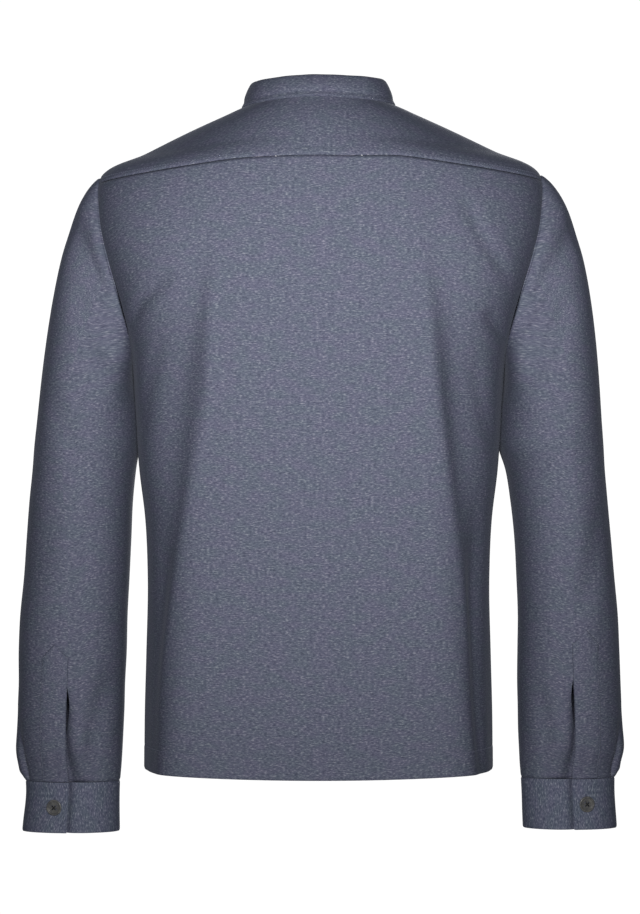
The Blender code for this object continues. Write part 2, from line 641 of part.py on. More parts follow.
def make_sleeve(name, material):
    side, drop, _, slit_top, _ = SIDES[name]
    points, joined = sleeve_grid(side, slit_top)
    middles = points[:, :-1].mean(axis=1, keepdims=True)
    normals = grid_normals(points, points - middles, closed=True)
    normals[joined:, 0] = normals[joined:, 1]
    normals[joined:, -1] = normals[joined:, -2]
    for j, step in enumerate(SLIT_STEP - np.arange(ARMHOLE_STEPS + 1)):
        s, level = armhole(step)
        of_body = body_normal(side * s, level) * (side, 1.0, 1.0)
        share = smoothstep(-0.3, 0.6, float(np.dot(of_body, normals[0, j])))
        normals[0, j] = unit(of_body * share + normals[0, j] * (1.0 - share))
    points = pulled_in(points, top=True, bottom=True)
    inner = points - normals * CLOTH
    wall(f"sleeve_{name}", in_place(points, side, drop), in_place(inner, side, drop), material, joined)


def make_placket(name, material):
    """The pointed placket strip beside the cuff opening, laid on the sleeve, with its rows at the sleeve's."""
    side, drop, tip, slit_top, _ = SIDES[name]
    tip += drop
    columns = 5
    shoulder = tip - PLACKET_POINT
    heights = [z for z in sleeve_rows(slit_top)[::-1] if CUFF_TOP_Z < z < shoulder - 4.0]
    rows = [CUFF_TOP_Z + 1.0, *heights, None]
    points = np.empty((len(rows), columns, 3))
    outward = np.empty_like(points)
    angle_0 = 2.0 * math.pi * SLIT_STEP / ARMHOLE_STEPS
    for j in range(columns):
        across = j / (columns - 1)
        for i, row in enumerate(rows):
            z = tip - PLACKET_POINT * abs(2.0 * across - 1.0) if row is None else row
            half_width = np.linalg.norm(ring_frame(side, z)[1])
            angle = angle_0 + (0.6 - across * PLACKET_WIDTH) / half_width
            points[i, j] = sleeve_ring(side, z, angle)
            outward[i, j] = unit(points[i, j] - ring_frame(side, z)[0])
    normals = grid_normals(points, outward)
    outer = points + normals * (STRIP_CLOTH + PLACKET_LIFT)
    inner = points + normals * PLACKET_LIFT
    wall(f"placket_{name}", in_place(outer, side, drop), in_place(inner, side, drop), material)


def cuff_point(side, arc, z):
    """A point on a cuff's outside, arc millimetres round from its upper end, the way out and the whole arc."""
    middle, across, back = ring_frame(side, z)
    start = 2.0 * math.pi * SLIT_STEP / ARMHOLE_STEPS + math.radians(TURN)
    angles = start - np.linspace(0.0, 2.0 * math.pi, 721)
    around = np.outer(np.cos(angles), across) + np.outer(np.sin(angles), back)
    arcs = np.concatenate([[0.0], np.cumsum(np.linalg.norm(np.diff(around, axis=0), axis=1))])
    angle = np.interp(arc % arcs[-1], arcs, angles)
    along = -across * math.sin(angle) + back * math.cos(angle)
    normal = unit(np.array((along[1], -along[0], 0.0)))
    return middle + across * math.cos(angle) + back * math.sin(angle), normal, arcs[-1]


def make_cuff(name, material):
    """The cuff: a strip from its upper end, at the opening, round the wrist to its under end."""
    side, drop, _, _, _ = SIDES[name]
    heights = np.array((0.0, 0.5, 1.0))
    points = np.empty((len(heights), CUFF_STEPS + 1, 3))
    normals = np.empty_like(points)
    for i, height in enumerate(heights):
        z = CUFF_TOP_Z - SEAM_GAP - CUFF_DROP * height
        around = cuff_point(side, 0.0, z)[2]
        for j in range(CUFF_STEPS + 1):
            arc = (around + CUFF_UNDERLAP) * j / CUFF_STEPS
            point, normals[i, j], _ = cuff_point(side, arc, z)
            step = CUFF_STEP * smoothstep(around - 30.0, around - 2.0, arc)
            points[i, j] = point - normals[i, j] * step
    inner = points - normals * BAND_CLOTH
    return wall(f"cuff_{name}", in_place(points, side, drop), in_place(inner, side, drop), material)


# ---------------------------------------------------------------- buttons
def button_mesh(material):
    """A round button with a rolled rim, a dished face and four holes."""
    r, t = BUTTON_RADIUS, BUTTON_THICK
    profile = ((r * 0.86, 0.0), (r, t * 0.45), (r * 0.94, t * 0.95), (r * 0.78, t), (r * 0.66, t * 0.72))
    mesh = bmesh.new()
    rings = []
    for radius, z in profile:
        ring = []
        for k in range(BUTTON_SIDES):
            a = 2.0 * math.pi * k / BUTTON_SIDES
            ring.append(mesh.verts.new(Vector((radius * math.cos(a), radius * math.sin(a), z)) * METRES))
        rings.append(ring)
    for low, high in zip(rings, rings[1:]):
        for k in range(BUTTON_SIDES):
            n = (k + 1) % BUTTON_SIDES
            mesh.faces.new((low[k], low[n], high[n], high[k]))
    mesh.faces.new(list(reversed(rings[0])))
    mesh.faces.new(rings[-1])
    bmesh.ops.recalc_face_normals(mesh, faces=mesh.faces)
    blank = finished("button_blank", mesh, material)
    for x in (-1.0, 1.0):
        for y in (-1.0, 1.0):
            bpy.ops.mesh.primitive_cylinder_add(
                vertices=6,
                radius=BUTTON_HOLE_RADIUS * METRES,
                depth=4.0 * t * METRES,
                location=(x * BUTTON_HOLE_SPREAD * METRES, y * BUTTON_HOLE_SPREAD * METRES, 0.0),
            )
            cutter = bpy.context.object
            cutter.name = "button_hole_cutter"
            cutter.hide_render = True
            cutter.display_type = "WIRE"
            cut = blank.modifiers.new("hole", "BOOLEAN")
            cut.operation = "DIFFERENCE"
            cut.object = cutter
    graph = bpy.context.evaluated_depsgraph_get()
    data = bpy.data.meshes.new_from_object(blank.evaluated_get(graph))
    for helper in [o for o in bpy.data.objects if o.name.startswith("button_")]:
        bpy.data.objects.remove(helper)
    return data


def place_button(name, data, point, normal):
    """A button on the cloth at that point, facing along the normal, both in millimetres."""
    facing = Vector(normal).normalized()
    seat = Vector(point) * METRES + facing * SEAM_GAP * METRES
    up = Vector((0.0, 0.0, 1.0))
    across = up.cross(facing).normalized()
    turn = Matrix((across, facing.cross(across), facing)).transposed()
    placed = bpy.data.objects.new(name, data)
    placed.matrix_world = Matrix.Translation(seat) @ turn.to_4x4()
    bpy.context.scene.collection.objects.link(placed)


def make_buttons(data, collar_points, collar_normals):
    neck_z = body_point(2.0, NECK_LEVEL)[2]
    levels = np.linspace(HEM_LEVEL, NECK_LEVEL, 400)
    heights = [body_point(2.0, level)[2] for level in levels]
    for k in range(FRONT_BUTTONS):
        z = neck_z - FIRST_BUTTON_DROP - BUTTON_SPACING * k
        level = float(np.interp(z, heights, levels))
        normal = body_normal(2.0, level)
        lift = lap_offset(1.0, 0.0) + STRIP_CLOTH + SEAM_GAP
        place_button(f"button_front_{k + 1}", data, body_point(2.0, level) + normal * lift, normal)
    centre = int(np.argmin(np.abs(collar_points[1, -8:, 0]))) - 8
    middle = collar_points[1:3, centre].mean(axis=0)
    normal = collar_normals[1, centre]
    place_button("button_collar", data, middle + normal * BUTTON_LIFT, normal)
    for name, (side, drop, _, _, _) in SIDES.items():
        z = CUFF_TOP_Z - CUFF_DROP / 2.0
        point, normal, _ = cuff_point(side, CUFF_BUTTON_INSET, z)
        point[2] -= drop
        flip = np.array((side, 1.0, 1.0))
        place_button(f"button_cuff_{name}", data, (point + normal * BUTTON_LIFT) * flip, normal * flip)


def main():
    for old in list(bpy.data.objects):
        bpy.data.objects.remove(old)
    cloth = made_material("melange_jersey", (0.118, 0.133, 0.184), 0.92)
    cross_cloth = made_material("melange_jersey_cut_across", (0.105, 0.118, 0.168), 0.92)
    horn = made_material("dark_horn_button", (0.022, 0.021, 0.023), 0.38)
    make_back(cloth)
    make_yoke(cloth)
    make_band(*make_front(1.0, "front_left", cloth), cloth)
    make_front(-1.0, "front_right", cloth)
    collar_points, collar_normals = make_collar(cross_cloth)
    for name in SIDES:
        make_sleeve(name, cloth)
        make_placket(name, cloth)
        make_cuff(name, cross_cloth)
    make_buttons(button_mesh(horn), collar_points, collar_normals)


main()
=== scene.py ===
"""The shirt jacket, dressed for its picture: fine cloth shells, seams, stitching and horn buttons.

Sizes are millimetres and become metres when a mesh is made. The front faces -Y, the back +Y, the wearer's left
is +X, and the origin is the middle of the neck opening.
"""

import math

import bmesh
import bpy
import numpy as np
from mathutils import Matrix, Vector

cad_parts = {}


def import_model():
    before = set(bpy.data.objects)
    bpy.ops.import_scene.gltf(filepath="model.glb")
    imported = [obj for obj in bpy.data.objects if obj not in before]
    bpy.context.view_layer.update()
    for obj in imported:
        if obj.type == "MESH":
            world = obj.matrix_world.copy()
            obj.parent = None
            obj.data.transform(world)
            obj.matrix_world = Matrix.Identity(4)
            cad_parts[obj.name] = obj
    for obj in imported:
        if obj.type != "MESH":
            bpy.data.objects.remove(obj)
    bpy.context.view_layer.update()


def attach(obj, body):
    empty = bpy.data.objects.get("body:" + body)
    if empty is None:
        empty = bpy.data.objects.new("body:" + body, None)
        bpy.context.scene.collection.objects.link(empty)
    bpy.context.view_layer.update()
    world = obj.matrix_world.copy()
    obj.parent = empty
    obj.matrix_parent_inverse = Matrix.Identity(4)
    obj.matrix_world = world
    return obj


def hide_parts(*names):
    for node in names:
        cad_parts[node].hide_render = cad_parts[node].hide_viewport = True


METRES = 0.001
CLOTH = 1.4  # one layer of knitted cloth
BAND_CLOTH = 2.4  # collar and cuffs: two layers and an interlining
STRIP_CLOTH = 1.2  # placket strips sewn on a panel
SEAM_GAP = 0.3

# ---------------------------------------------------------------- the garment's form, filled out
FRONT_LAP = 15.0
LAP_STEP = 0.95
LAP_BLEND = (26.0, 70.0)
BAND_WIDTH = 32.0
COLLAR_HEIGHT = 29.0
COLLAR_LEAN_BACK = 16.0
COLLAR_LEAN_SIDE = 11.0
COLLAR_LEAN_FRONT = 3.0
COLLAR_STEP = 0.85
COLLAR_CORNER = 5.0
BUTTON_RADIUS = 8.2
BUTTON_THICK = 3.0
BUTTON_LIFT = 0.6
BUTTON_HOLE_RADIUS = 0.9
BUTTON_HOLE_SPREAD = 1.75
FRONT_BUTTONS = 6
FIRST_BUTTON_DROP = 62.0
BUTTON_SPACING = 96.0

# One row for each ring round the body, from hem to neck. level is the distance up the side from the hem.
TORSO_COLUMNS = (
    "level", "half_width", "y_back", "y_front", "z_side", "z_back", "z_front", "n_back", "n_front",
)
TORSO_RINGS = (
    (0.0, 177.5, 106.0, -112.0, -675.0, -679.8, -679.0, 3.5, 2.6),
    (60.0, 177.0, 107.0, -113.0, -616.0, -619.0, -618.0, 3.3, 2.5),
    (118.0, 175.5, 107.0, -113.0, -559.0, -560.0, -560.0, 3.1, 2.4),
    (198.0, 174.0, 107.0, -114.0, -480.0, -480.0, -480.0, 2.9, 2.3),
    (258.0, 176.6, 108.0, -117.0, -420.0, -420.0, -420.0, 2.75, 2.2),
    (307.0, 182.5, 110.0, -121.0, -371.0, -371.0, -371.0, 2.65, 2.15),
    (378.0, 187.0, 114.0, -127.0, -300.0, -300.0, -300.0, 2.6, 2.1),
    (426.0, 191.0, 117.0, -129.0, -252.0, -252.0, -252.0, 2.65, 2.15),
    (478.0, 206.0, 119.0, -127.0, -200.0, -200.0, -200.0, 2.7, 2.25),
    (518.0, 219.0, 117.0, -122.0, -160.0, -160.0, -162.0, 2.6, 2.3),
    (558.0, 227.0, 111.0, -114.0, -120.0, -118.0, -130.0, 2.4, 2.25),
    (605.0, 222.0, 98.0, -103.0, -73.0, -62.0, -99.0, 2.1, 2.1),
    (657.0, 176.0, 86.0, -93.0, -49.0, -33.0, -87.0, 1.8, 1.85),
    (709.0, 130.0, 75.0, -83.0, -26.0, -13.0, -77.0, 1.8, 1.8),
    (765.0, 79.5, 62.0, -72.0, -3.5, 4.0, -67.0, 2.1, 2.1),
)
NECK_LEVEL = 765.0
SHOULDER_LEVEL = 605.0
ARMPIT_LEVEL = 420.0
ARMHOLE_BACK = 44.0
ARMHOLE_FRONT = 48.0
ARMHOLE_BIAS = 0.25
ARMHOLE_STEPS = 28
YOKE_CORNER = 2
YOKE_SEAM_CENTRE = 611.0
YOKE_SEAM_FLAT = 0.33
BODY_ROWS = (0.0, 28.0, 62.0, 100.0, 140.0, 182.0, 224.0, 264.0, 302.0, 340.0, 374.0, 402.0)
RIGHT_SHOULDER_OUT = 3.5
RIGHT_SHOULDER_UP = 3.0

# The long soft ridges of the back and the front, and the dip outside each.
RIDGE_COLUMNS = ("x_top", "z_top", "x_hem", "z_hem", "height")
BACK_RIDGES = ((103.0, -176.0, 168.0, -640.0, 5.0), (-106.0, -186.0, -170.0, -640.0, 5.5))
FRONT_RIDGES = ((112.0, -215.0, 146.0, -640.0, 2.6), (-108.0, -230.0, -141.0, -640.0, 3.0))
RIDGE_INNER_WIDTH = 42.0
RIDGE_OUTER_WIDTH = 15.0
VALLEY_OFFSET = 34.0
VALLEY_WIDTH = 20.0

SLEEVE_COLUMNS = ("z", "x_left", "half_left", "x_right", "half_right", "y", "half_depth", "tilt")
SLEEVE_RINGS = (
    (-325.0, 235.8, 51.6, 237.0, 52.2, -9.0, 63.0, 20.0),
    (-345.0, 236.9, 53.2, 237.6, 53.5, -12.0, 62.0, 20.0),
    (-371.0, 239.9, 52.8, 242.2, 50.6, -16.0, 60.5, 18.0),
    (-402.0, 243.2, 53.2, 246.3, 49.8, -20.0, 59.0, 14.0),
    (-440.0, 245.7, 54.0, 250.2, 49.6, -25.0, 57.0, 9.0),
    (-480.0, 248.2, 54.3, 253.0, 50.2, -30.0, 55.0, 5.0),
    (-520.0, 251.4, 55.0, 255.8, 51.2, -34.5, 53.0, 2.0),
    (-556.0, 252.8, 55.2, 256.8, 52.2, -38.0, 51.0, 0.0),
    (-590.0, 254.0, 54.4, 257.8, 53.0, -41.0, 49.0, 0.0),
    (-612.0, 254.9, 54.7, 258.8, 53.2, -42.5, 47.5, 0.0),
    (-638.0, 255.4, 54.0, 259.2, 53.0, -44.0, 45.5, 0.0),
    (-659.0, 255.2, 52.8, 259.0, 52.0, -45.0, 42.0, 0.0),
    (-674.0, 254.0, 50.6, 257.2, 49.6, -46.0, 38.0, 0.0),
    (-687.5, 253.4, 48.8, 257.2, 48.5, -46.5, 34.5, 0.0),
    (-740.0, 255.5, 50.4, 259.4, 48.6, -49.0, 35.0, 0.0),
)
CUFF_TOP_Z = -687.5
CUFF_DROP = 52.0
CAP_START = {"top": (140.0, 0.0, 75.0), "back": (58.0, 26.0, 130.0),
             "under": (14.0, 0.0, 64.0), "front": (58.0, -26.0, 130.0)}
CAP_END = 150.0
SLIT_STEP = 7
TURN = -3.0
# Down the slit: the share of its length, how far the under edge slides under the placket, and how deep.
SLIT = ((0.0, -0.3, 0.0), (0.2, -3.4, 3.8), (0.42, -1.6, 7.4), (0.65, 4.0, 11.0), (1.0, 12.0, 10.5))
SLIT_BLEND = 24.0  # how far from an edge that lies over it the cloth starts to fall in
SLIT_FALL = 6.4  # and the distance in which it falls most
PLEAT_RISE = 5.0
PLEAT_VALLEY = 11.0
PLEAT_ANGLE = 22.0
PLEAT_LENGTH = 75.0
PLACKET_WIDTH = 28.5
PLACKET_POINT = 14.0
PLACKET_LIFT = 0.5
CUFF_UNDERLAP = 28.0
CUFF_STEP = 7.0
CUFF_BUTTON_INSET = 14.0
# Each sleeve: side, how much lower the cuff hangs, placket point, the opening's upper end, the cap's reach out.
SIDES = {"left": (1.0, 3.5, -550.0, -589.0, 0.0), "right": (-1.0, 0.0, -534.0, -582.0, 26.0)}

# Creases, each from one point to another as seen from behind or in front: + is a valley.
CREASE_COLUMNS = ("x_start", "z_start", "x_end", "z_end", "depth", "width")
CREASE_BOW = 3.0  # how far a crease bows aside at its middle
BACK_CREASES = (
    (70.0, -176.0, 87.0, -366.0, -1.5, 11.0),
    (-62.0, -210.0, -74.0, -400.0, -1.0, 14.0),
    (102.0, -172.0, 109.0, -300.0, -1.5, 8.0),
    (110.0, -303.0, 165.0, -604.0, -1.7, 8.0),
    (-105.0, -185.0, -168.0, -622.0, -1.9, 8.0),
    (-149.0, -105.0, -186.0, -172.0, 2.4, 7.0),
    (153.0, -180.0, 191.0, -221.0, 3.4, 8.0),
    (-170.0, -216.0, -198.0, -239.0, 3.2, 8.0),
    (160.0, -250.0, 178.0, -330.0, 1.6, 8.0),
    (-158.0, -262.0, -176.0, -345.0, 1.5, 8.0),
    (124.0, -225.0, 170.0, -640.0, 4.4, 16.0),
    (-130.0, -232.0, -172.0, -640.0, 4.8, 15.0),
    (160.0, -470.0, 172.0, -690.0, 4.0, 8.0),
    (-161.0, -440.0, -170.0, -690.0, 6.0, 8.0),
)
FRONT_CREASES = (
    (150.0, -170.0, 190.0, -232.0, 3.0, 9.0),
    (-150.0, -176.0, -190.0, -236.0, 3.0, 9.0),
    (128.0, -205.0, 164.0, -300.0, 1.8, 11.0),
    (-120.0, -214.0, -158.0, -310.0, 1.6, 12.0),
    (60.0, -300.0, 84.0, -470.0, 1.3, 15.0),
    (-66.0, -340.0, -92.0, -520.0, 1.4, 15.0),
    (110.0, -430.0, 126.0, -610.0, -1.5, 13.0),
    (-108.0, -420.0, -120.0, -600.0, -1.4, 14.0),
)
SLEEVE_CREASE_COLUMNS = ("side", *CREASE_COLUMNS)
SLEEVE_BACK_CREASES = (
    (1.0, 250.0, -122.0, 203.0, -205.0, 5.6, 13.0),
    (1.0, 244.0, -186.0, 205.0, -262.0, 4.2, 13.0),
    (-1.0, 262.0, -122.0, 206.0, -214.0, 5.6, 13.0),
    (-1.0, 250.0, -200.0, 212.0, -280.0, 4.2, 13.0),
    (-1.0, 287.0, -415.0, 262.0, -540.0, 3.0, 14.0),
    (1.0, 215.0, -585.0, 234.0, -680.0, 3.0, 12.0),
    (1.0, 268.0, -300.0, 232.0, -372.0, 1.5, 12.0),
    (1.0, 238.0, -398.0, 262.0, -470.0, -1.4, 13.0),
    (-1.0, 240.0, -330.0, 262.0, -410.0, -1.2, 13.0),
    (-1.0, 226.0, -600.0, 234.0, -684.0, 1.6, 8.0),
    (1.0, 243.0, -640.0, 236.0, -686.0, -1.5, 7.0),
)
SLEEVE_FRONT_CREASES = (
    (1.0, 256.0, -132.0, 206.0, -215.0, 3.6, 14.0),
    (1.0, 270.0, -330.0, 222.0, -372.0, 3.2, 11.0),
    (1.0, 284.0, -372.0, 236.0, -408.0, 2.6, 11.0),
    (1.0, 240.0, -440.0, 286.0, -500.0, 2.4, 12.0),
    (1.0, 232.0, -560.0, 266.0, -640.0, 1.8, 11.0),
    (-1.0, 262.0, -134.0, 208.0, -220.0, 3.8, 14.0),
    (-1.0, 276.0, -338.0, 226.0, -384.0, 3.2, 11.0),
    (-1.0, 290.0, -392.0, 244.0, -424.0, 2.4, 11.0),
    (-1.0, 246.0, -452.0, 288.0, -520.0, 2.2, 12.0),
    (-1.0, 238.0, -570.0, 268.0, -650.0, 1.8, 11.0),
)

# ---------------------------------------------------------------- making up
SEAM_DIP = 1.2  # how far the cloth turns down into a seam
SEAM_TURN = 1.4
WELT_RISE = 0.55  # the yoke's edge is backed by its seam allowance, and stands up by this
WELT_WIDTH = 7.2
TOPSTITCH = (1.6, 5.8)  # rows of stitching on the yoke, from its seam
HEM_STITCH = 24.0
STITCH_LENGTH = 2.1
STITCH_PITCH = 2.9
THREAD_RADIUS = 0.24
THREAD_LIFT = 0.08
BUTTONHOLE_LENGTH = 19.0
BUTTONHOLE_HALF = 1.3  # half the width between the two sides
BUTTONHOLE_PITCH = 0.55
BAND_STITCH = 5.0  # from each edge of the button band
EDGE_STITCH = 2.0  # from the edges of plackets and cuffs
COLLAR_STITCH = 2.2
PLACKET_CROSS = 4.0  # the row across a placket, above its slit
FIRST_ROW = 28.0  # the lowest row of a panel, above its hem
BAND_START, BAND_END = 8.0, 11.0  # marks across a front where its band starts and ends
YOKE_SEAM_ENDS = (4.0, 24.0)  # marks round the yoke's edge where its back seam starts and ends
# A button's steps, from its outer edge in: how far each goes in, in radii, and how far up, in thicknesses.
BUTTON_STEPS = ((0.09, 0.2), (0.12, 0.0), (0.06, -0.3), (0.26, -0.05))
EDGE_MARKS = np.array((0.0, 0.5, 1.1, 1.9, 3.0, 4.4, 6.2, 8.4, 11.0))  # in from an edge, for the seam's turn

# ---------------------------------------------------------------- colours and studio
# Fibres from dark to light, as places along the noise and sRGB colours.
FIBRES = ((0.0, "#474a5a"), (0.35, "#585b6b"), (0.65, "#656877"), (1.0, "#8c8d96"))
CUT_ACROSS_FIBRES = ((0.0, "#484d5e"), (0.35, "#5a5f70"), (0.65, "#6a6e7e"), (1.0, "#989aa4"))
HORN_CLOUDS = ((0.35, "#48484a"), (0.75, "#6b6a66"))
FLOOR_RADIUS, FLOOR_Z = 1.4, -1.02  # metres, as all places below
# name, place, the point it is aimed at, width and height, watts, spread in degrees
SOFTBOXES = (
    ("softbox_behind", (0.02, 2.6, 0.0), (0.0, 0.0, -0.15), (0.6, 0.5), 5.2, 44.0),
    ("softbox_front", (-0.4, -2.8, 0.4), (0.0, 0.0, -0.3), (1.2, 1.2), 15.0, 90.0),
)
ROOM_LIGHT, BACKDROP_LIGHT = 0.09, 1.05  # the room lights the garment, and the backdrop is only seen
CAMERA_PLACE = (-0.0015, 4.0, -0.358)
CAMERA_LENS = 154.46


# ---------------------------------------------------------------- small tools
def linear(hex_colour):
    """An sRGB hex colour as linear red, green, blue and alpha."""
    values = [int(hex_colour[k:k + 2], 16) / 255.0 for k in (1, 3, 5)]
    return tuple(v / 12.92 if v <= 0.04045 else ((v + 0.055) / 1.055) ** 2.4 for v in values) + (1.0,)


def rows_at(rows, values):
    """A table's rows at any values of its first column, on a smooth curve through them."""
    table = np.array(rows, float)
    if table[0, 0] > table[-1, 0]:
        table = table[::-1]
    keys = table[:, 0]
    slopes = np.gradient(table, keys, axis=0)
    values = np.asarray(values, float)
    i = np.clip(np.searchsorted(keys, values) - 1, 0, len(keys) - 2)
    span = (keys[i + 1] - keys[i])[..., None]
    t = (values - keys[i])[..., None] / span
    t2, t3 = t * t, t * t * t
    inside = (
        (2 * t3 - 3 * t2 + 1) * table[i] + (t3 - 2 * t2 + t) * span * slopes[i]
        + (3 * t2 - 2 * t3) * table[i + 1] + (t3 - t2) * span * slopes[i + 1]
    )
    before = table[i] + slopes[i] * (values - keys[i])[..., None]
    after = table[i + 1] + slopes[i + 1] * (values - keys[i + 1])[..., None]
    return np.where(t < 0.0, before, np.where(t > 1.0, after, inside))


def smoothstep(low, high, value):
    t = np.clip((value - low) / (high - low), 0.0, 1.0)
    return t * t * (3.0 - 2.0 * t)


def unit(v):
    return v / np.maximum(np.linalg.norm(v, axis=-1, keepdims=True), 1e-9)


def grid_normals(points, outward, closed_rows=0):
    """Unit normals of a grid of points, turned to the side of the directions outward."""
    across = np.gradient(points, axis=1)
    if closed_rows:
        around = points[:closed_rows]
        across[:closed_rows, 0] = across[:closed_rows, -1] = (around[:, 1] - around[:, -2]) / 2.0
    normals = unit(np.cross(across, np.gradient(points, axis=0)))
    return normals * np.sign((normals * outward).sum(-1, keepdims=True) + 1e-12)


def from_edges(points):
    """How far each point of a grid is from its four edges, along the cloth: bottom, top, left, right."""
    up = np.linalg.norm(np.diff(points, axis=0), axis=-1)
    over = np.linalg.norm(np.diff(points, axis=1), axis=-1)
    bottom = np.concatenate([np.zeros((1, points.shape[1])), np.cumsum(up, axis=0)])
    left = np.concatenate([np.zeros((points.shape[0], 1)), np.cumsum(over, axis=1)], axis=1)
    return bottom, bottom[-1:] - bottom, left, left[:, -1:] - left


def seam_turn(distance):
    return -SEAM_DIP * np.exp(-((distance / SEAM_TURN) ** 2))


def stitch_dent(distance, row, depth=0.3):
    return -depth * np.exp(-(((distance - row) / 0.9) ** 2))


def creased(points, rows, columns=CREASE_COLUMNS, side=None):
    """How far in the creases of a table move a grid's points."""
    depth = np.zeros(points.shape[:-1])
    flat = points[..., [0, 2]]
    for row in rows:
        crease = dict(zip(columns, row))
        if side is not None and crease["side"] != side:
            continue
        start = np.array((crease["x_start"], crease["z_start"]))
        line = np.array((crease["x_end"], crease["z_end"])) - start
        share = ((flat - start) * line).sum(-1) / np.dot(line, line)
        bow = CREASE_BOW * np.sin(np.clip(share, 0.0, 1.0) * math.pi)
        away = ((flat - start) * np.array((-line[1], line[0])) / np.linalg.norm(line)).sum(-1) - bow
        ends = smoothstep(-0.3, 0.2, share) * (1.0 - smoothstep(0.8, 1.3, share))
        depth += crease["depth"] * ends * np.exp(-((away / crease["width"]) ** 2))
    return depth


def waviness(points, size, seeds):
    """Slow unevenness of hanging cloth, from a few long waves."""
    x, y, z = np.moveaxis(points, -1, 0)
    out = np.zeros(x.shape)
    for k, seed in enumerate(seeds):
        fx, fz = 0.022 + 0.013 * math.sin(seed * 1.7), 0.016 + 0.009 * math.cos(seed * 2.3)
        out += np.sin(x * fx + z * fz * (-1) ** k + y * 0.011 + seed * 2.1) / len(seeds)
    return out * size


def marks(count, start=0.0, end=1.0, near_start=(), near_end=(), length=1.0):
    """Even marks from start to end, with closer ones near the ends, given in mm of length."""
    scale = (end - start) / length
    values = list(np.linspace(start, end, count))
    values += [start + d * scale for d in near_start] + [end - d * scale for d in near_end]
    values = sorted(values)
    kept = [values[0]]
    for value in values[1:]:
        if value - kept[-1] > 0.35 * scale:
            kept.append(value)
    kept[-1] = end
    return np.array(kept)


def merged(*lists, digits=4):
    """Marks from several lists in one, in order and none twice."""
    return np.unique(np.round(np.concatenate(lists), digits))


# ---------------------------------------------------------------- the body's surface
def quarter_rings(level, front):
    """Quarters of the rings at each level, from the centre line to the side."""
    ring = dict(zip(TORSO_COLUMNS, np.moveaxis(rows_at(TORSO_RINGS, level), -1, 0)))
    n = np.where(front, ring["n_front"], ring["n_back"])[:, None]
    depth = np.where(front, ring["y_front"], ring["y_back"])[:, None]
    angle = np.linspace(0.0, math.pi / 2, 241)[None]
    x = ring["half_width"][:, None] * np.sin(angle) ** (2.0 / n)
    y = depth * np.cos(angle).clip(0.0) ** (2.0 / n)
    arc = np.concatenate([np.zeros((len(x), 1)), np.cumsum(np.hypot(np.diff(x), np.diff(y)), axis=1)], axis=1)
    return ring, arc, x, y


PART = 8000  # points worked out at a time, to spare memory
LENGTH_LEVELS = np.linspace(0.0, NECK_LEVEL, 154)
FRONT_LENGTHS = quarter_rings(LENGTH_LEVELS, LENGTH_LEVELS >= 0.0)[1][:, -1]
BACK_LENGTHS = quarter_rings(LENGTH_LEVELS, LENGTH_LEVELS < 0.0)[1][:, -1]


def side_length(level, front=True):
    return np.interp(level, LENGTH_LEVELS, FRONT_LENGTHS if front else BACK_LENGTHS)


def ridge_offset(rows, x, z):
    offset = np.zeros(x.shape)
    for row in rows:
        ridge = dict(zip(RIDGE_COLUMNS, row))
        down = (ridge["z_top"] - z) / (ridge["z_top"] - ridge["z_hem"])
        place = abs(ridge["x_top"]) + (abs(ridge["x_hem"]) - abs(ridge["x_top"])) * np.maximum(0.0, down)
        away = np.abs(x) - place
        height = ridge["height"] * smoothstep(-0.12, 0.28, down) * (1.0 - 0.45 * smoothstep(0.6, 1.1, down))
        width = np.where(away < 0.0, RIDGE_INNER_WIDTH, RIDGE_OUTER_WIDTH)
        wave = np.exp(-((away / width) ** 2)) - 0.7 * np.exp(-(((away - VALLEY_OFFSET) / VALLEY_WIDTH) ** 2))
        offset += height * wave * (x * ridge["x_top"] > 0.0)
    return offset


def body_skin(s, level):
    """Points on the body's outside. s is 0 at the centre back, 1 at the left side, 2 at the centre front."""
    s, level = np.broadcast_arrays(np.asarray(s, float), np.asarray(level, float))
    shape = s.shape
    s, level = s.ravel(), level.ravel()
    s = (s + 2.0) % 4.0 - 2.0
    side, turn = np.where(s < 0.0, -1.0, 1.0), np.abs(s)
    front = turn > 1.0
    share = np.where(front, 2.0 - turn, turn)
    points = np.empty((len(s), 3))
    for a in range(0, len(s), PART):
        part = slice(a, a + PART)
        ring, arc, xs, ys = quarter_rings(level[part], front[part])
        want = share[part] * arc[:, -1]
        k = np.clip((arc < want[:, None]).sum(1) - 1, 0, arc.shape[1] - 2)
        i = np.arange(len(k))
        t = (want - arc[i, k]) / (arc[i, k + 1] - arc[i, k])
        x = (xs[i, k] + t * (xs[i, k + 1] - xs[i, k])) * side[part]
        y = ys[i, k] + t * (ys[i, k + 1] - ys[i, k])
        centre_z = np.where(front[part], ring["z_front"], ring["z_back"])
        z = ring["z_side"] + (centre_z - ring["z_side"]) * np.cos(share[part] * math.pi / 2) ** 2
        y = np.where(
            front[part],
            y - ridge_offset(FRONT_RIDGES, x, z) * smoothstep(1.0, 1.2, turn[part]),
            y + ridge_offset(BACK_RIDGES, x, z) * (1.0 - smoothstep(0.8, 1.0, turn[part])),
        )
        upper = smoothstep(ARMPIT_LEVEL - 60.0, SHOULDER_LEVEL - 30.0, level[part]) * (side[part] < 0.0)
        points[part] = np.stack([
            x - upper * RIGHT_SHOULDER_OUT * smoothstep(110.0, 215.0, -x), y,
            z + upper * RIGHT_SHOULDER_UP * smoothstep(20.0, 95.0, -x),
        ], axis=-1)
    return points.reshape(*shape, 3)


def body_normals(s, level):
    across = body_skin(s + 0.02, level) - body_skin(s - 0.02, level)
    up = body_skin(s, level + 3.0) - body_skin(s, level - 3.0)
    return -unit(np.cross(across, up))


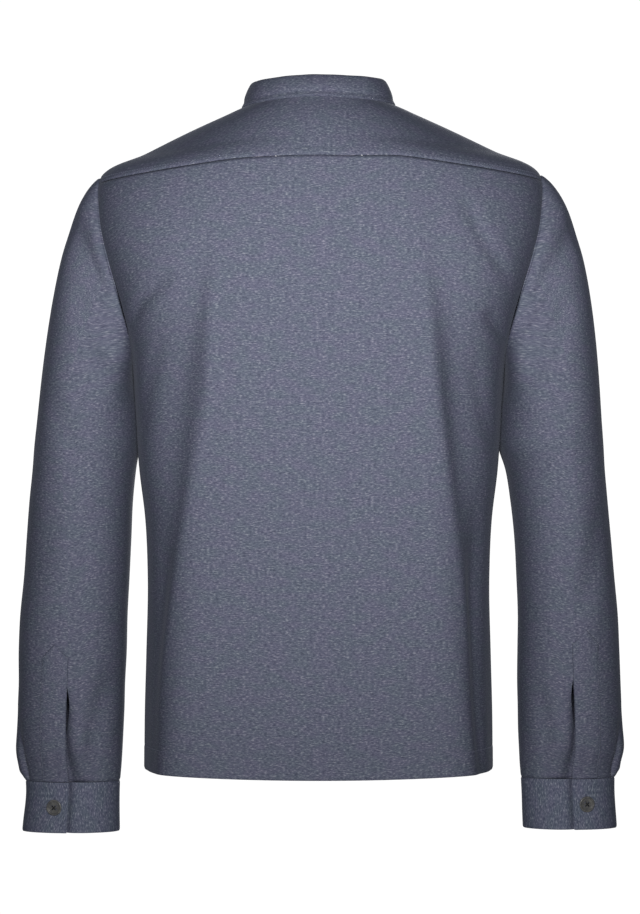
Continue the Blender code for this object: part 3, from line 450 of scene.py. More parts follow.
def armhole(step):
    """s and level on the armhole. Step 0 is the shoulder point, and the back comes next."""
    angle = 2.0 * math.pi * np.asarray(step, float) / ARMHOLE_STEPS
    middle, half = (SHOULDER_LEVEL + ARMPIT_LEVEL) / 2.0, (SHOULDER_LEVEL - ARMPIT_LEVEL) / 2.0
    level = middle + half * np.cos(angle)
    at_back = np.sin(angle) > 0.0
    reach = np.where(at_back, ARMHOLE_BACK, ARMHOLE_FRONT) * np.sin(angle)
    reach = reach * (1.0 - ARMHOLE_BIAS * np.cos(angle))
    return 1.0 - reach / np.where(at_back, side_length(level, False), side_length(level)), level


def lap_offset(side, x):
    return side * LAP_STEP * (1.0 - smoothstep(*LAP_BLEND, side * x))


def yoke_drop(share):
    return np.maximum(0.0, (np.abs(share) - YOKE_SEAM_FLAT) / (1.0 - YOKE_SEAM_FLAT)) ** 1.12


# ---------------------------------------------------------------- cloth pieces
def deselect():
    if bpy.context.mode != "OBJECT":
        bpy.ops.object.mode_set(mode="OBJECT")
    bpy.ops.object.select_all(action="DESELECT")


def added(name, data):
    """A new object in the scene."""
    item = bpy.data.objects.new(name, data)
    bpy.context.scene.collection.objects.link(item)
    return item


def sewn(piece, node, material):
    """Puts a finished piece in the frame: it takes the node's place, and the material given."""
    piece.data.materials.clear()
    piece.data.materials.append(material)
    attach(piece, "root")
    if node:
        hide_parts(node)
    return piece


def cloth_shell(name, points, outward, thick, material, joined=0, knit=None):
    """A grid laid on the cloth's outside, then given its thickness inwards. The first joined rows close up.

    knit gives each point's place on the flat cloth in millimetres, along the knitted rows and across them.
    """
    rows, columns = points.shape[:2]
    if knit is None:
        bottom, left = from_edges(points)[::2]
        knit = np.stack([left - left[:, columns // 2][:, None], bottom], axis=-1)
    deselect()
    bpy.ops.mesh.primitive_grid_add(x_subdivisions=columns - 1, y_subdivisions=rows - 1, size=1.0)
    piece = bpy.context.object
    piece.name = piece.data.name = name
    mesh = piece.data
    mesh.vertices.foreach_set("co", (points * METRES).astype(np.float32).ravel())
    corners = np.empty(len(mesh.loops), np.int32)
    mesh.loops.foreach_get("vertex_index", corners)
    mesh.uv_layers.active.name = "cloth"
    uv = (knit * METRES).reshape(-1, 2)[corners]
    mesh.uv_layers.active.data.foreach_set("uv", uv.astype(np.float32).ravel())
    mesh.update()
    facing = np.empty(len(mesh.polygons) * 3, np.float32)
    mesh.polygons.foreach_get("normal", facing)
    if (facing.reshape(-1, 3) * outward[:-1, :-1].reshape(-1, 3)).sum() < 0.0:
        mesh.flip_normals()
    if joined:
        bpy.ops.object.mode_set(mode="EDIT")
        bpy.ops.mesh.select_all(action="SELECT")
        bpy.ops.mesh.remove_doubles(threshold=1e-6)
        bpy.ops.object.mode_set(mode="OBJECT")
    thicker = piece.modifiers.new("wall", "SOLIDIFY")
    thicker.thickness = thick * METRES
    thicker.offset = -1.0
    thicker.use_rim = True
    bpy.ops.object.modifier_apply(modifier=thicker.name)
    bpy.ops.object.shade_smooth_by_angle(angle=math.radians(45.0))
    return sewn(piece, name.removesuffix("_cloth"), material)


def cut(points, extra_width=0.0, extra_length=0.0, widest=None):
    """Works out the size of a piece's cloth laid flat and its turned-in edges, and keeps none of it.

    widest is the flat width, where the widest row of points runs round a pointed end.
    """
    bottom, left = from_edges(points)[::2]
    width = (widest or left[:, -1].max()) + extra_width
    length = bottom[-1].max() + extra_length
    a = points[1:, 1:] - points[:-1, :-1]
    b = points[1:, :-1] - points[:-1, 1:]
    area = np.linalg.norm(np.cross(a, b), axis=-1).sum() / 2.0
    area += extra_width * length + extra_length * (width - extra_width)
    area = min(area, 0.999 * width * length)


def panel_marks(end_row):
    """Rows of a panel as positions in its coarse list of rows, closer near the hem and the upper seam."""
    side = len(BODY_ROWS)
    low = np.linspace(0.0, side, side * 9 + 1)
    high = np.linspace(side, end_row, int(end_row - side) * 5 + 1)
    by_stitches = HEM_STITCH + np.array((-3.0, -1.6, -0.8, 0.0, 0.8, 1.6, 3.0))
    top = end_row - EDGE_MARKS[:8] / 15.0
    values = merged(low, high, EDGE_MARKS[:6] / FIRST_ROW, by_stitches / FIRST_ROW, top, digits=3)
    return values[np.concatenate([[True], np.diff(values) > 0.02])]


def hem_offset(bottom):
    """How a hem turns in at its edge, and stands up a little as far as its stitches."""
    doubled = 0.25 * (1.0 - smoothstep(HEM_STITCH - 2.0, HEM_STITCH + 1.0, bottom))
    return 0.7 * seam_turn(bottom) + stitch_dent(bottom, HEM_STITCH, 0.35) + doubled


def panel_lines(row, front):
    """s and level at the side end of a panel's row, and the level where it meets the centre line."""
    step = np.clip(26.0 - row, YOKE_CORNER, 14.0)
    s_arm, level_arm = armhole(-step if front else step)
    levels = np.interp(row, np.arange(13.0), (*BODY_ROWS, ARMPIT_LEVEL))
    past = np.maximum(0.0, row - 24.0) / 5.0
    corner = armhole(-YOKE_CORNER)[1]
    level = np.where(row <= 12.0, levels, level_arm)
    level = np.where(row > 24.0, corner + (NECK_LEVEL - corner) * past, level)
    s_end = np.where(row <= 12.0, 1.0, s_arm)
    upper, last = (19, NECK_LEVEL) if front else (14, YOKE_SEAM_CENTRE)
    middles = [*BODY_ROWS[:-1], *np.linspace(BODY_ROWS[-1], last, upper)]
    return s_end, level, np.interp(row, np.arange(len(middles)), middles)


def make_back(material):
    """The back: side seams and armholes at its sides, the yoke seam on top, a stitched hem below."""
    half = merged(np.linspace(0.0, 1.0, 49)[:-1], 1.0 - EDGE_MARKS / 185.0, digits=5)
    columns = np.concatenate([-half[:0:-1], half])
    s_end, level, middle = (v[:, None] for v in panel_lines(panel_marks(24.0), False))
    near = smoothstep(ARMPIT_LEVEL, YOKE_SEAM_CENTRE, middle)
    shape = (1.0 - yoke_drop(columns)) * near + (1.0 - np.abs(columns) ** 2.5) * (1.0 - near)
    points = body_skin(columns * s_end, level + (middle - level) * shape)
    normals = grid_normals(points, unit(points * (0.5, 1.0, 0.0)))
    bottom, top, left, right = from_edges(points)
    offset = seam_turn(top) + seam_turn(left) + seam_turn(right) + hem_offset(bottom)
    inner = smoothstep(4.0, 40.0, np.minimum(np.minimum(left, right), top))
    offset += (waviness(points, 0.9, (1.0, 2.4, 3.1, 4.9)) - creased(points, BACK_CREASES)) * inner
    skin = points + normals * offset[..., None]
    piece = cloth_shell("back_cloth", skin, normals, CLOTH, material)
    cut(points, 20.0, 35.0)
    return skin, normals


def make_yoke(material):
    """The yoke: its back edge stands up a little over the seam, with two rows of stitching."""
    first, last = YOKE_SEAM_ENDS
    turn = EDGE_MARKS / 9.0
    edge = merged(
        np.linspace(0.0, first, 25), np.linspace(first, last, 121), np.linspace(last, ARMHOLE_STEPS, 25),
        turn, ARMHOLE_STEPS - turn,
    )
    c = 1.0 - (np.clip(edge, first, last) - first) / 10.0
    corner_s, corner_level = armhole(YOKE_CORNER)
    s_arm, level_arm = armhole(np.where(edge < 14.0, edge - 2.0, 26.0 - edge))
    in_seam = (edge >= first) & (edge <= last)
    s_edge = np.where(in_seam, corner_s * c, np.where(edge < 14.0, s_arm, -s_arm))
    level_seam = YOKE_SEAM_CENTRE + (corner_level - YOKE_SEAM_CENTRE) * yoke_drop(c)
    level_edge = np.where(in_seam, level_seam, level_arm)
    share = marks(34, near_start=EDGE_MARKS, near_end=EDGE_MARKS[:6], length=140.0)[:, None]
    spread = s_edge[0] * (1.0 - edge / 14.0)
    s = s_edge + (spread - s_edge) * share ** 1.5
    tuck = 1.8 * (share == share.max())  # the neck edge runs up inside the collar
    points = body_skin(s, level_edge + (NECK_LEVEL - level_edge) * share + tuck)
    normals = grid_normals(points, unit(points * (0.4, 0.6, 0.0) + (0.0, 0.0, 120.0)))
    bottom, top, left, right = from_edges(points)
    on_seam = smoothstep(first, first + 0.6, edge) * (1.0 - smoothstep(last - 0.6, last, edge))
    offset = 0.0 * top
    for distance, here in ((bottom, on_seam), (left, 1.0), (right, 1.0)):
        welt = WELT_RISE * (1.0 - smoothstep(WELT_WIDTH - 1.6, WELT_WIDTH + 1.4, distance))
        welt += stitch_dent(distance, TOPSTITCH[0]) + stitch_dent(distance, TOPSTITCH[1])
        welt -= 0.6 * np.exp(-((distance / 0.7) ** 2))
        offset = offset + welt * here
    offset += seam_turn(bottom) * (1.0 - on_seam)
    inner = smoothstep(8.0, 30.0, np.minimum(np.minimum(left, right), np.minimum(top, bottom)))
    offset += waviness(points, 0.5, (0.6, 2.2, 3.8)) * inner
    skin = points + normals * offset[..., None]
    knit = np.stack([points[..., 0] * 1.1, 0.5 * points[..., 2] - points[..., 1]], axis=-1)
    piece = cloth_shell("yoke_cloth", skin, normals, CLOTH, material, knit=knit)
    cut(points, 20.0, 20.0)
    return skin, normals, edge


def front_skin(side, marks_across, rows):
    """Points on a front for marks across it, from 0 at its side to BAND_END at its front edge."""
    s_start, level, middle = (v[:, None] for v in panel_lines(rows, True))
    q = marks_across[None]
    level_row = level + (middle - level) * (1.0 - (1.0 - q / BAND_END) ** 2.5)
    lengths = side_length(level_row)
    s_edges = 2.0 + FRONT_LAP / lengths
    s_band = s_edges - BAND_WIDTH / lengths
    in_band = np.maximum(0.0, q - BAND_START) / (BAND_END - BAND_START)
    s = side * (s_start + (s_band - s_start) * np.minimum(1.0, q / BAND_START) + (s_edges - s_band) * in_band)
    points = body_skin(s, level_row)
    normals = grid_normals(points, unit(points * (0.5, 1.0, 0.0)))
    return points + normals * lap_offset(side, points[..., 0])[..., None], normals


def make_front(side, name, material):
    across = merged(
        EDGE_MARKS / 20.0, np.linspace(0.0, BAND_START, 45), np.linspace(BAND_START, BAND_END, 13),
        BAND_END - EDGE_MARKS[:6] / 11.0,
    )
    points, normals = front_skin(side, across, panel_marks(29.0))
    bottom, top, left, right = from_edges(points)
    offset = seam_turn(left) + seam_turn(top) + hem_offset(bottom)
    inner = smoothstep(4.0, 40.0, np.minimum(left, top)) * smoothstep(36.0, 80.0, right)
    offset += (waviness(points, 1.1, (1.4, 2.9, 4.2)) - creased(points, FRONT_CREASES)) * inner
    skin = points + normals * offset[..., None]
    piece = cloth_shell(f"{name}_cloth", skin, normals, CLOTH, material)
    cut(points, 20.0, 35.0)
    return skin, normals


def make_band(material):
    """The button band on the left front's edge, stitched down along both sides."""
    turn = EDGE_MARKS[:7] / 10.7
    across = merged(BAND_START + turn, np.linspace(BAND_START, BAND_END, 16), BAND_END - turn)
    points, normals = front_skin(1.0, across, panel_marks(29.0))
    points[-1] += unit(points[-2] - points[-1]) * 3.0 * SEAM_GAP
    offset = STRIP_CLOTH + SEAM_GAP
    bottom, _, left, right = from_edges(points)
    for distance in (left, right, bottom):
        offset = offset + 0.5 * seam_turn(distance)
    offset += stitch_dent(left, BAND_STITCH) + stitch_dent(right, BAND_STITCH)
    skin = points + normals * offset[..., None]
    piece = cloth_shell("front_band_cloth", skin, normals, STRIP_CLOTH, material)
    cut(points, 6.0, 10.0)
    return skin, normals


def collar_skin(s, height):
    """Points on the collar's outside and the way into the neck. height is 0 to 1 up the collar."""
    side, turn = np.sign(s), np.abs(s)
    base = body_skin(s, np.full(s.shape, NECK_LEVEL))
    inward = unit(np.stack([-base[..., 0], -base[..., 1] - 4.0, 0.0 * s], axis=-1))
    edge = unit(base - body_skin(s, np.full(s.shape, NECK_LEVEL - 3.0)))
    to_back = np.cos(np.clip(turn, 0.0, 1.0) * math.pi / 2) ** 2
    lean_back = COLLAR_LEAN_SIDE + (COLLAR_LEAN_BACK - COLLAR_LEAN_SIDE) * to_back
    swing = np.sin(np.clip(turn - 1.0, 0.0, 1.1) * math.pi / 2) ** 2
    lean = np.where(turn < 1.0, lean_back, COLLAR_LEAN_SIDE + (COLLAR_LEAN_FRONT - COLLAR_LEAN_SIDE) * swing)
    lap = np.where(turn < 1.0, 0.0, lap_offset(side, base[..., 0]))
    base = base + body_normals(s, np.full(s.shape, NECK_LEVEL)) * lap[..., None]
    rise = np.sqrt(COLLAR_HEIGHT ** 2 - lean ** 2)
    curve = height + 0.12 * np.sin(height * math.pi)
    up = np.stack([0.0 * s, 0.0 * s, rise * curve], axis=-1)
    return base + edge * 2.0 * SEAM_GAP + inward * (lean * height)[..., None] + up, inward


def make_collar(material):
    ends = 2.0 + (FRONT_LAP - 0.5) / side_length(NECK_LEVEL)
    edge = EDGE_MARKS / 115.0
    turns = merged(np.linspace(-ends, ends, 161), -ends + edge, ends - edge, digits=5)
    turns[np.abs(turns) < 1e-4] = 1e-4
    heights = marks(12, near_start=EDGE_MARKS[:7], near_end=EDGE_MARKS[:5], length=COLLAR_HEIGHT)[:, None]
    s, height = np.broadcast_arrays(turns[None], heights)
    points, inward = collar_skin(s, height)
    past = ends - np.abs(s)
    step = (1.0 - smoothstep(2.2 * (ends - 2.0), 0.6, past)) * COLLAR_STEP
    rounding = COLLAR_CORNER * (1.0 - smoothstep(0.0, 0.09, past)) ** 2
    points = points - inward * (step * np.sign(s))[..., None]
    points[..., 2] -= rounding * height ** 4
    normals = grid_normals(points, -inward)
    bottom, top, left, right = from_edges(points)
    offset = 0.6 * (seam_turn(top) + seam_turn(left) + seam_turn(right)) - 0.4 * np.exp(-((bottom / 1.2) ** 2))
    offset += stitch_dent(bottom, COLLAR_STITCH, 0.2) - 0.9 * np.exp(-(((bottom - 6.5) / 3.2) ** 2))
    offset += 0.125 * np.sin(s * 21.0) * smoothstep(4.0, 14.0, bottom)
    skin = points + normals * offset[..., None]
    piece = cloth_shell("collar_cloth", skin, normals, BAND_CLOTH, material)
    cut(points, 8.0, 6.0)
    return skin, normals, points


# ---------------------------------------------------------------- sleeves
def ring_frames(side, z):
    ring = dict(zip(SLEEVE_COLUMNS, np.moveaxis(rows_at(SLEEVE_RINGS, z), -1, 0)))
    name = "left" if side > 0.0 else "right"
    tilt, depth = np.radians(ring["tilt"]), ring["half_depth"]
    width = np.sqrt(ring["half_" + name] ** 2 - (depth * np.sin(tilt)) ** 2) / np.cos(tilt)
    flat = 0.0 * tilt
    across = np.stack([width * np.cos(tilt), -width * np.sin(tilt), flat], axis=-1)
    back = np.stack([depth * np.sin(tilt), depth * np.cos(tilt), flat], axis=-1)
    return np.stack([ring["x_" + name], ring["y"], z + flat], axis=-1), across, back


def sleeve_ring(side, z, angle):
    """Points on a sleeve's rings. angle is 0 at the outer side and goes by the back; x is outwards."""
    z, angle = np.broadcast_arrays(np.asarray(z, float), np.asarray(angle, float))
    middle, across, back = ring_frames(side, z)
    turned = (angle + math.radians(TURN) * smoothstep(SLEEVE_RINGS[0][0], CUFF_TOP_Z, z))[..., None]
    return middle + across * np.cos(turned) + back * np.sin(turned)


def pleat_offset(angle, z):
    near = smoothstep(CUFF_TOP_Z + PLEAT_LENGTH, CUFF_TOP_Z + 14.0, z)
    near = near * (1.0 - 0.8 * smoothstep(CUFF_TOP_Z + 10.0, CUFF_TOP_Z, z))
    deep = 0.25 * near + 0.75 * smoothstep(CUFF_TOP_Z + 46.0, CUFF_TOP_Z + 18.0, z)
    deep = deep * (1.0 - 0.7 * smoothstep(CUFF_TOP_Z + 5.0, CUFF_TOP_Z, z))
    degrees = (np.degrees(angle) + 180.0) % 360.0 - 180.0
    valley = np.exp(-(((degrees - PLEAT_ANGLE) / 5.0) ** 2)) * PLEAT_VALLEY
    fold = np.exp(-(((degrees - 2.0) / 13.0) ** 2)) * PLEAT_RISE
    return near * fold - deep * valley


def cap_points(side, step, share):
    """Points between the armhole, where share is 0, and the first ring."""
    angle = 2.0 * math.pi * step / ARMHOLE_STEPS
    s, level = armhole(step)
    start = body_skin(side * s, level) * (side, 1.0, 1.0)
    end = sleeve_ring(side, SLEEVE_RINGS[0][0], angle)
    below = sleeve_ring(side, SLEEVE_RINGS[1][0], angle)
    arrive = unit(below - end) * np.minimum(CAP_END, 1.15 * np.linalg.norm(end - start, axis=-1, keepdims=True))
    top, back, under, front = (np.array(CAP_START[k]) for k in ("top", "back", "under", "front"))
    cos, sin = np.cos(angle)[..., None], np.sin(angle)[..., None]
    leave = (top + back + under + front) / 4.0 + (top - under) / 2.0 * cos + (back - front) / 2.0 * sin
    leave = leave + (top + under - back - front) / 4.0 * np.cos(2.0 * angle)[..., None]
    if side < 0.0:
        leave[..., 0] += SIDES["right"][4] * np.cos(angle / 2.0) ** 2
    leave[..., 2] *= -1.0
    t = share[..., None]
    t2, t3 = t ** 2, t ** 3
    from_start = (2 * t3 - 3 * t2 + 1) * start + (t3 - 2 * t2 + t) * leave
    return from_start + (3 * t2 - 2 * t3) * end + (t3 - t2) * arrive


def worn(points, normals, side, drop):
    """A sleeve's piece moved to its own side, where the arm hangs lower by drop."""
    out = points.copy()
    start = SLEEVE_RINGS[3][0]
    out[..., 2] -= drop * np.clip((start - out[..., 2]) / (start - CUFF_TOP_Z), 0.0, 1.0)
    out[..., 0] *= side
    return out, normals * (side, 1.0, 1.0)


def falling(distance):
    """How fully cloth falls in beside an edge that lies over it: 1 at that edge, and less away from it."""
    seen = np.maximum(0.0, distance)
    return np.exp(-seen / SLIT_FALL) * (1.0 - smoothstep(10.0, SLIT_BLEND, seen))


def sleeve_form(side, slit_top):
    """A sleeve filled out, from its cap to the cuff, opened at the slit, and how many of its rows close up."""
    around = marks(141, 0.0, ARMHOLE_STEPS, EDGE_MARKS[:7], EDGE_MARKS[:7], 330.0)
    steps = SLIT_STEP - around
    shares = marks(46, near_start=EDGE_MARKS, length=150.0)
    cap = cap_points(side, steps[None], shares[:, None])
    z_high = np.linspace(SLEEVE_RINGS[0][0], slit_top, 62)[1:]
    slit_length = slit_top - CUFF_TOP_Z
    z_low = slit_top - marks(30, 0.0, slit_length, near_end=EDGE_MARKS, length=slit_length)[1:]
    z = np.concatenate([z_high, z_low])[:, None]
    angle = 2.0 * math.pi * steps[None] / ARMHOLE_STEPS
    half = rows_at(SLEEVE_RINGS, z)[..., 2]
    slit = rows_at(SLIT, np.clip((slit_top - z) / slit_length, 0.0, 1.0))
    opened = z < slit_top
    away = (ARMHOLE_STEPS - around[None]) * 2.0 * math.pi / ARMHOLE_STEPS * half
    near = 1.0 - smoothstep(0.0, SLIT_BLEND, away)
    dip = np.where(opened, slit[..., 2] * falling(away - np.maximum(0.0, slit[..., 1])), 0.0)
    angle = angle - np.where(opened, near * slit[..., 1] / half, 0.0)
    below = sleeve_ring(side, z, angle)
    middle = ring_frames(side, z)[0]
    below = below + unit(below - middle) * (pleat_offset(angle, z) - dip)[..., None]
    return np.concatenate([cap, below]), len(cap) + len(z_high), steps


def make_sleeve(name, material):
    side, drop, _, slit_top, _ = SIDES[name]
    points, joined, steps = sleeve_form(side, slit_top)
    normals = grid_normals(points, points - points.mean(axis=1, keepdims=True), joined)
    s, level = armhole(steps)
    of_body = body_normals(side * s, level) * (side, 1.0, 1.0)
    blend = smoothstep(-0.3, 0.6, (of_body * normals[0]).sum(-1))[:, None]
    normals[0] = unit(of_body * blend + normals[0] * (1.0 - blend))
    from_cap, to_cuff, left, right = from_edges(points)
    depth = -waviness(points, 0.8, (2.0 + side, 3.3, 5.1)) * smoothstep(0.0, 60.0, to_cuff)
    for rows, facing in ((SLEEVE_BACK_CREASES, normals[..., 1]), (SLEEVE_FRONT_CREASES, -normals[..., 1])):
        depth += creased(points, rows, SLEEVE_CREASE_COLUMNS, side) * smoothstep(-0.1, 0.35, facing)
    # No crease runs into the placket, or into the cap's seam.
    across = np.minimum(left, right + PLACKET_WIDTH)
    beside = 1.0 - smoothstep(PLACKET_WIDTH + 4.0, PLACKET_WIDTH + 22.0, across)
    strip = beside * (1.0 - smoothstep(slit_top + 45.0, slit_top + 95.0, points[..., 2]))
    calm = smoothstep(4.0, 26.0, from_cap) * (1.0 - strip)
    # The sleeve rests against the body here, and closes the gap beside it.
    close = 3.4 * np.exp(-(((points[..., 2] + 278.0) / 48.0) ** 2)) * smoothstep(0.2, 0.8, -normals[..., 0])
    points = points - normals * (depth * calm - close)[..., None]
    offset = seam_turn(from_cap) + 0.6 * seam_turn(to_cuff)
    offset += 0.35 * np.sin(left * 1.15) * np.exp(-((from_cap - 3.5) / 4.0) ** 2)
    skin = points + normals * offset[..., None]
    skin[:joined, -1] = skin[:joined, 0]
    knit = np.stack([left - left[:, left.shape[1] // 2][:, None], -to_cuff], axis=-1)
    skin, normals = worn(skin, normals, side, drop)
    piece = cloth_shell(f"sleeve_{name}_cloth", skin, normals, CLOTH, material, joined=joined, knit=knit)
    cut(points, 20.0, 20.0)


def strip_skin(side, z, inset):
    """Points of the placket strip, inset millimetres round from its edge at the opening."""
    half = np.linalg.norm(ring_frames(side, z)[1], axis=-1)
    points = sleeve_ring(side, z, 2.0 * math.pi * SLIT_STEP / ARMHOLE_STEPS + (0.6 - inset) / half)
    return points, unit(points - ring_frames(side, z)[0])


def make_placket(name, material):
    """The pointed strip beside the cuff opening, stitched down round its edge and across above the slit."""
    side, drop, tip, slit_top, _ = SIDES[name]
    tip += drop
    inset = marks(15, 0.0, PLACKET_WIDTH, EDGE_MARKS[:6], EDGE_MARKS[:6], PLACKET_WIDTH)[None]
    peak = tip - PLACKET_POINT * np.abs(2.0 * inset / PLACKET_WIDTH - 1.0)
    height = marks(60, near_end=EDGE_MARKS[:7], length=130.0)[:, None]
    z = CUFF_TOP_Z + 1.0 + (peak - CUFF_TOP_Z - 1.0) * height
    points, outward = strip_skin(side, z, inset + 0.0 * z)
    normals = grid_normals(points, outward)
    edge = np.minimum.reduce(from_edges(points)[1:])
    offset = STRIP_CLOTH + PLACKET_LIFT - 1.3 * np.exp(-((edge / 0.7) ** 2))
    offset -= 0.35 * np.exp(-(((edge - EDGE_STITCH) / 0.8) ** 2))
    offset -= 0.3 * np.exp(-((z - (slit_top + PLACKET_CROSS)) ** 2))
    skin, normals = worn(points + normals * offset[..., None], normals, side, drop)
    piece = cloth_shell(f"placket_{name}_cloth", skin, normals, STRIP_CLOTH, material)
    cut(points, 4.0, 4.0, PLACKET_WIDTH)
    return skin, normals, z


def cuff_skin(side, arc, z):
    """Points on a cuff's outside, arc millimetres round from its upper end, and the way out."""
    z, arc = np.broadcast_arrays(z, arc)
    middle, across, back = ring_frames(side, z)
    start = 2.0 * math.pi * SLIT_STEP / ARMHOLE_STEPS + math.radians(TURN)
    angles = start - np.linspace(0.0, 2.0 * math.pi, 721)
    angle, whole = np.empty(z.shape), np.empty(z.shape)
    for i in range(z.shape[0]):
        ring = np.outer(np.cos(angles), across[i, 0]) + np.outer(np.sin(angles), back[i, 0])
        arcs = np.concatenate([[0.0], np.cumsum(np.linalg.norm(np.diff(ring, axis=0), axis=1))])
        angle[i] = np.interp(arc[i] % arcs[-1], arcs, angles)
        whole[i] = arcs[-1]
    cos, sin = np.cos(angle)[..., None], np.sin(angle)[..., None]
    along = -across * sin + back * cos
    normal = unit(np.stack([along[..., 1], -along[..., 0], 0.0 * angle], axis=-1))
    return middle + across * cos + back * sin, normal, whole


def make_cuff(name, material):
    side, drop = SIDES[name][:2]
    z = CUFF_TOP_Z - SEAM_GAP - marks(18, 0.0, CUFF_DROP, EDGE_MARKS[:7], EDGE_MARKS[:6], CUFF_DROP)[:, None]
    whole = cuff_skin(side, np.zeros((1, 1)), np.full((1, 1), CUFF_TOP_Z))[2][0, 0]
    share = marks(150, 0.0, 1.0, EDGE_MARKS[:6], EDGE_MARKS[:6], whole + CUFF_UNDERLAP)[None]
    around = cuff_skin(side, np.zeros((len(z), 1)), z)[2]
    arc = (around + CUFF_UNDERLAP) * share
    points, normals, _ = cuff_skin(side, arc, z + 0.0 * arc)
    points = points - normals * (CUFF_STEP * falling(around - arc))[..., None]
    bottom, top, left, right = from_edges(points)
    rim = np.minimum.reduce((left, right, top))
    offset = 0.5 * seam_turn(bottom) - 0.6 * np.exp(-(rim ** 2)) + stitch_dent(bottom, EDGE_STITCH, 0.15)
    offset += 0.18 * np.sin(arc * 0.11 + side) * smoothstep(0.0, 20.0, top)
    offset += 0.7 * np.exp(-(((left - 2.4) / 1.6) ** 2))  # the flap's rolled edge
    skin, normals = worn(points + normals * offset[..., None], normals, side, drop)
    piece = cloth_shell(f"cuff_{name}_cloth", skin, normals, BAND_CLOTH, material)
    cut(points, 8.0, 8.0)
    return skin, normals


# ---------------------------------------------------------------- stitching
def stitch_blank():
    """One stitch: a short rounded length of thread along X."""
    deselect()
    bpy.ops.mesh.primitive_uv_sphere_add(segments=6, ring_count=5, radius=1.0)
    blank = bpy.context.object
    points = np.array([v.co[:] for v in blank.data.vertices])[:, [2, 1, 0]]
    points[:, 0] = np.sign(points[:, 0]) * np.abs(points[:, 0]) ** 0.45
    faces = [tuple(reversed(p.vertices)) for p in blank.data.polygons]
    bpy.data.objects.remove(blank)
    return points * (STITCH_LENGTH / 2.0, THREAD_RADIUS * 1.3, THREAD_RADIUS), faces


def at_places(places, along, rows):
    """Rows of numbers that go with marks along a line, at other places on it."""
    return np.stack([np.interp(places, along, column) for column in rows.T], axis=-1)


def line_at(points, normals, distance, wanted, axis=0):
    """The line on a grid where the distance from an edge is as wanted, with its normals."""
    if axis:
        points, normals, distance = points.swapaxes(0, 1), normals.swapaxes(0, 1), distance.T
    line = []
    for j in range(points.shape[1]):
        order = np.argsort(distance[:, j])
        along = distance[order, j]
        both = np.concatenate([points[order, j], normals[order, j]], axis=-1)
        line.append(at_places(wanted, along, both))
    line = np.array(line)
    return line[:, :3], unit(line[:, 3:])


def sew(runs, line, normals):
    """Adds a run of stitches along a line to the list of runs."""
    lengths = np.linalg.norm(np.diff(line, axis=0), axis=1)
    along = np.concatenate([[0.0], np.cumsum(lengths)])
    places = np.arange(STITCH_PITCH * 0.7, along[-1] - STITCH_PITCH * 0.5, STITCH_PITCH)
    at, ahead = at_places(places, along, line), at_places(places + 0.8, along, line)
    up = unit(at_places(places, along, normals))
    runs.append((at + up * THREAD_LIFT, unit(ahead - at), up))


def sew_beside(runs, skin, normals, edge, distance, kept=None):
    """Sews a row beside an edge of a piece: 0 and 1 are its lower and upper edges, 2 and 3 its sides."""
    line, facing = line_at(skin, normals, from_edges(skin)[edge], distance, axis=edge // 2)
    sew(runs, line[:kept], facing[:kept])


def make_stitching(name, runs, material):
    blank, faces = stitch_blank()
    at, along, up = (np.concatenate([run[k] for run in runs]) for k in range(3))
    side = unit(np.cross(up, along))
    up = np.cross(along, side)
    turn = np.stack([along, side, up], axis=-1)
    points = (np.einsum("mij,nj->mni", turn, blank) + at[:, None]).reshape(-1, 3)
    count = len(blank)
    every = [tuple(v + m * count for v in face) for m in range(len(at)) for face in faces]
    mesh = bpy.data.meshes.new(name)
    mesh.from_pydata((points * METRES).tolist(), [], every)
    mesh.shade_smooth()
    return sewn(added(name, mesh), None, material)


def buttonhole(runs, middle, normal, along):
    """Close stitches set across the two sides of a buttonhole."""
    across = np.cross(normal, along)
    half = BUTTONHOLE_LENGTH / 2.0
    for k in np.arange(-half, half + 0.01, BUTTONHOLE_PITCH):
        for way in (-1.0, 1.0):
            at = middle + along * k + across * way * BUTTONHOLE_HALF + normal * 0.12
            runs.append((at[None], across[None], normal[None]))


# ---------------------------------------------------------------- buttons
def pick_faces(blank, facing):
    """Selects the faces of a blank in edit mode that look up, where facing is 1, or down, where it is -1."""
    bpy.ops.mesh.select_all(action="DESELECT")
    mesh = bmesh.from_edit_mesh(blank.data)
    for face in mesh.faces:
        if face.normal.z * facing > 0.9:
            face.select_set(True)
    bmesh.update_edit_mesh(blank.data)


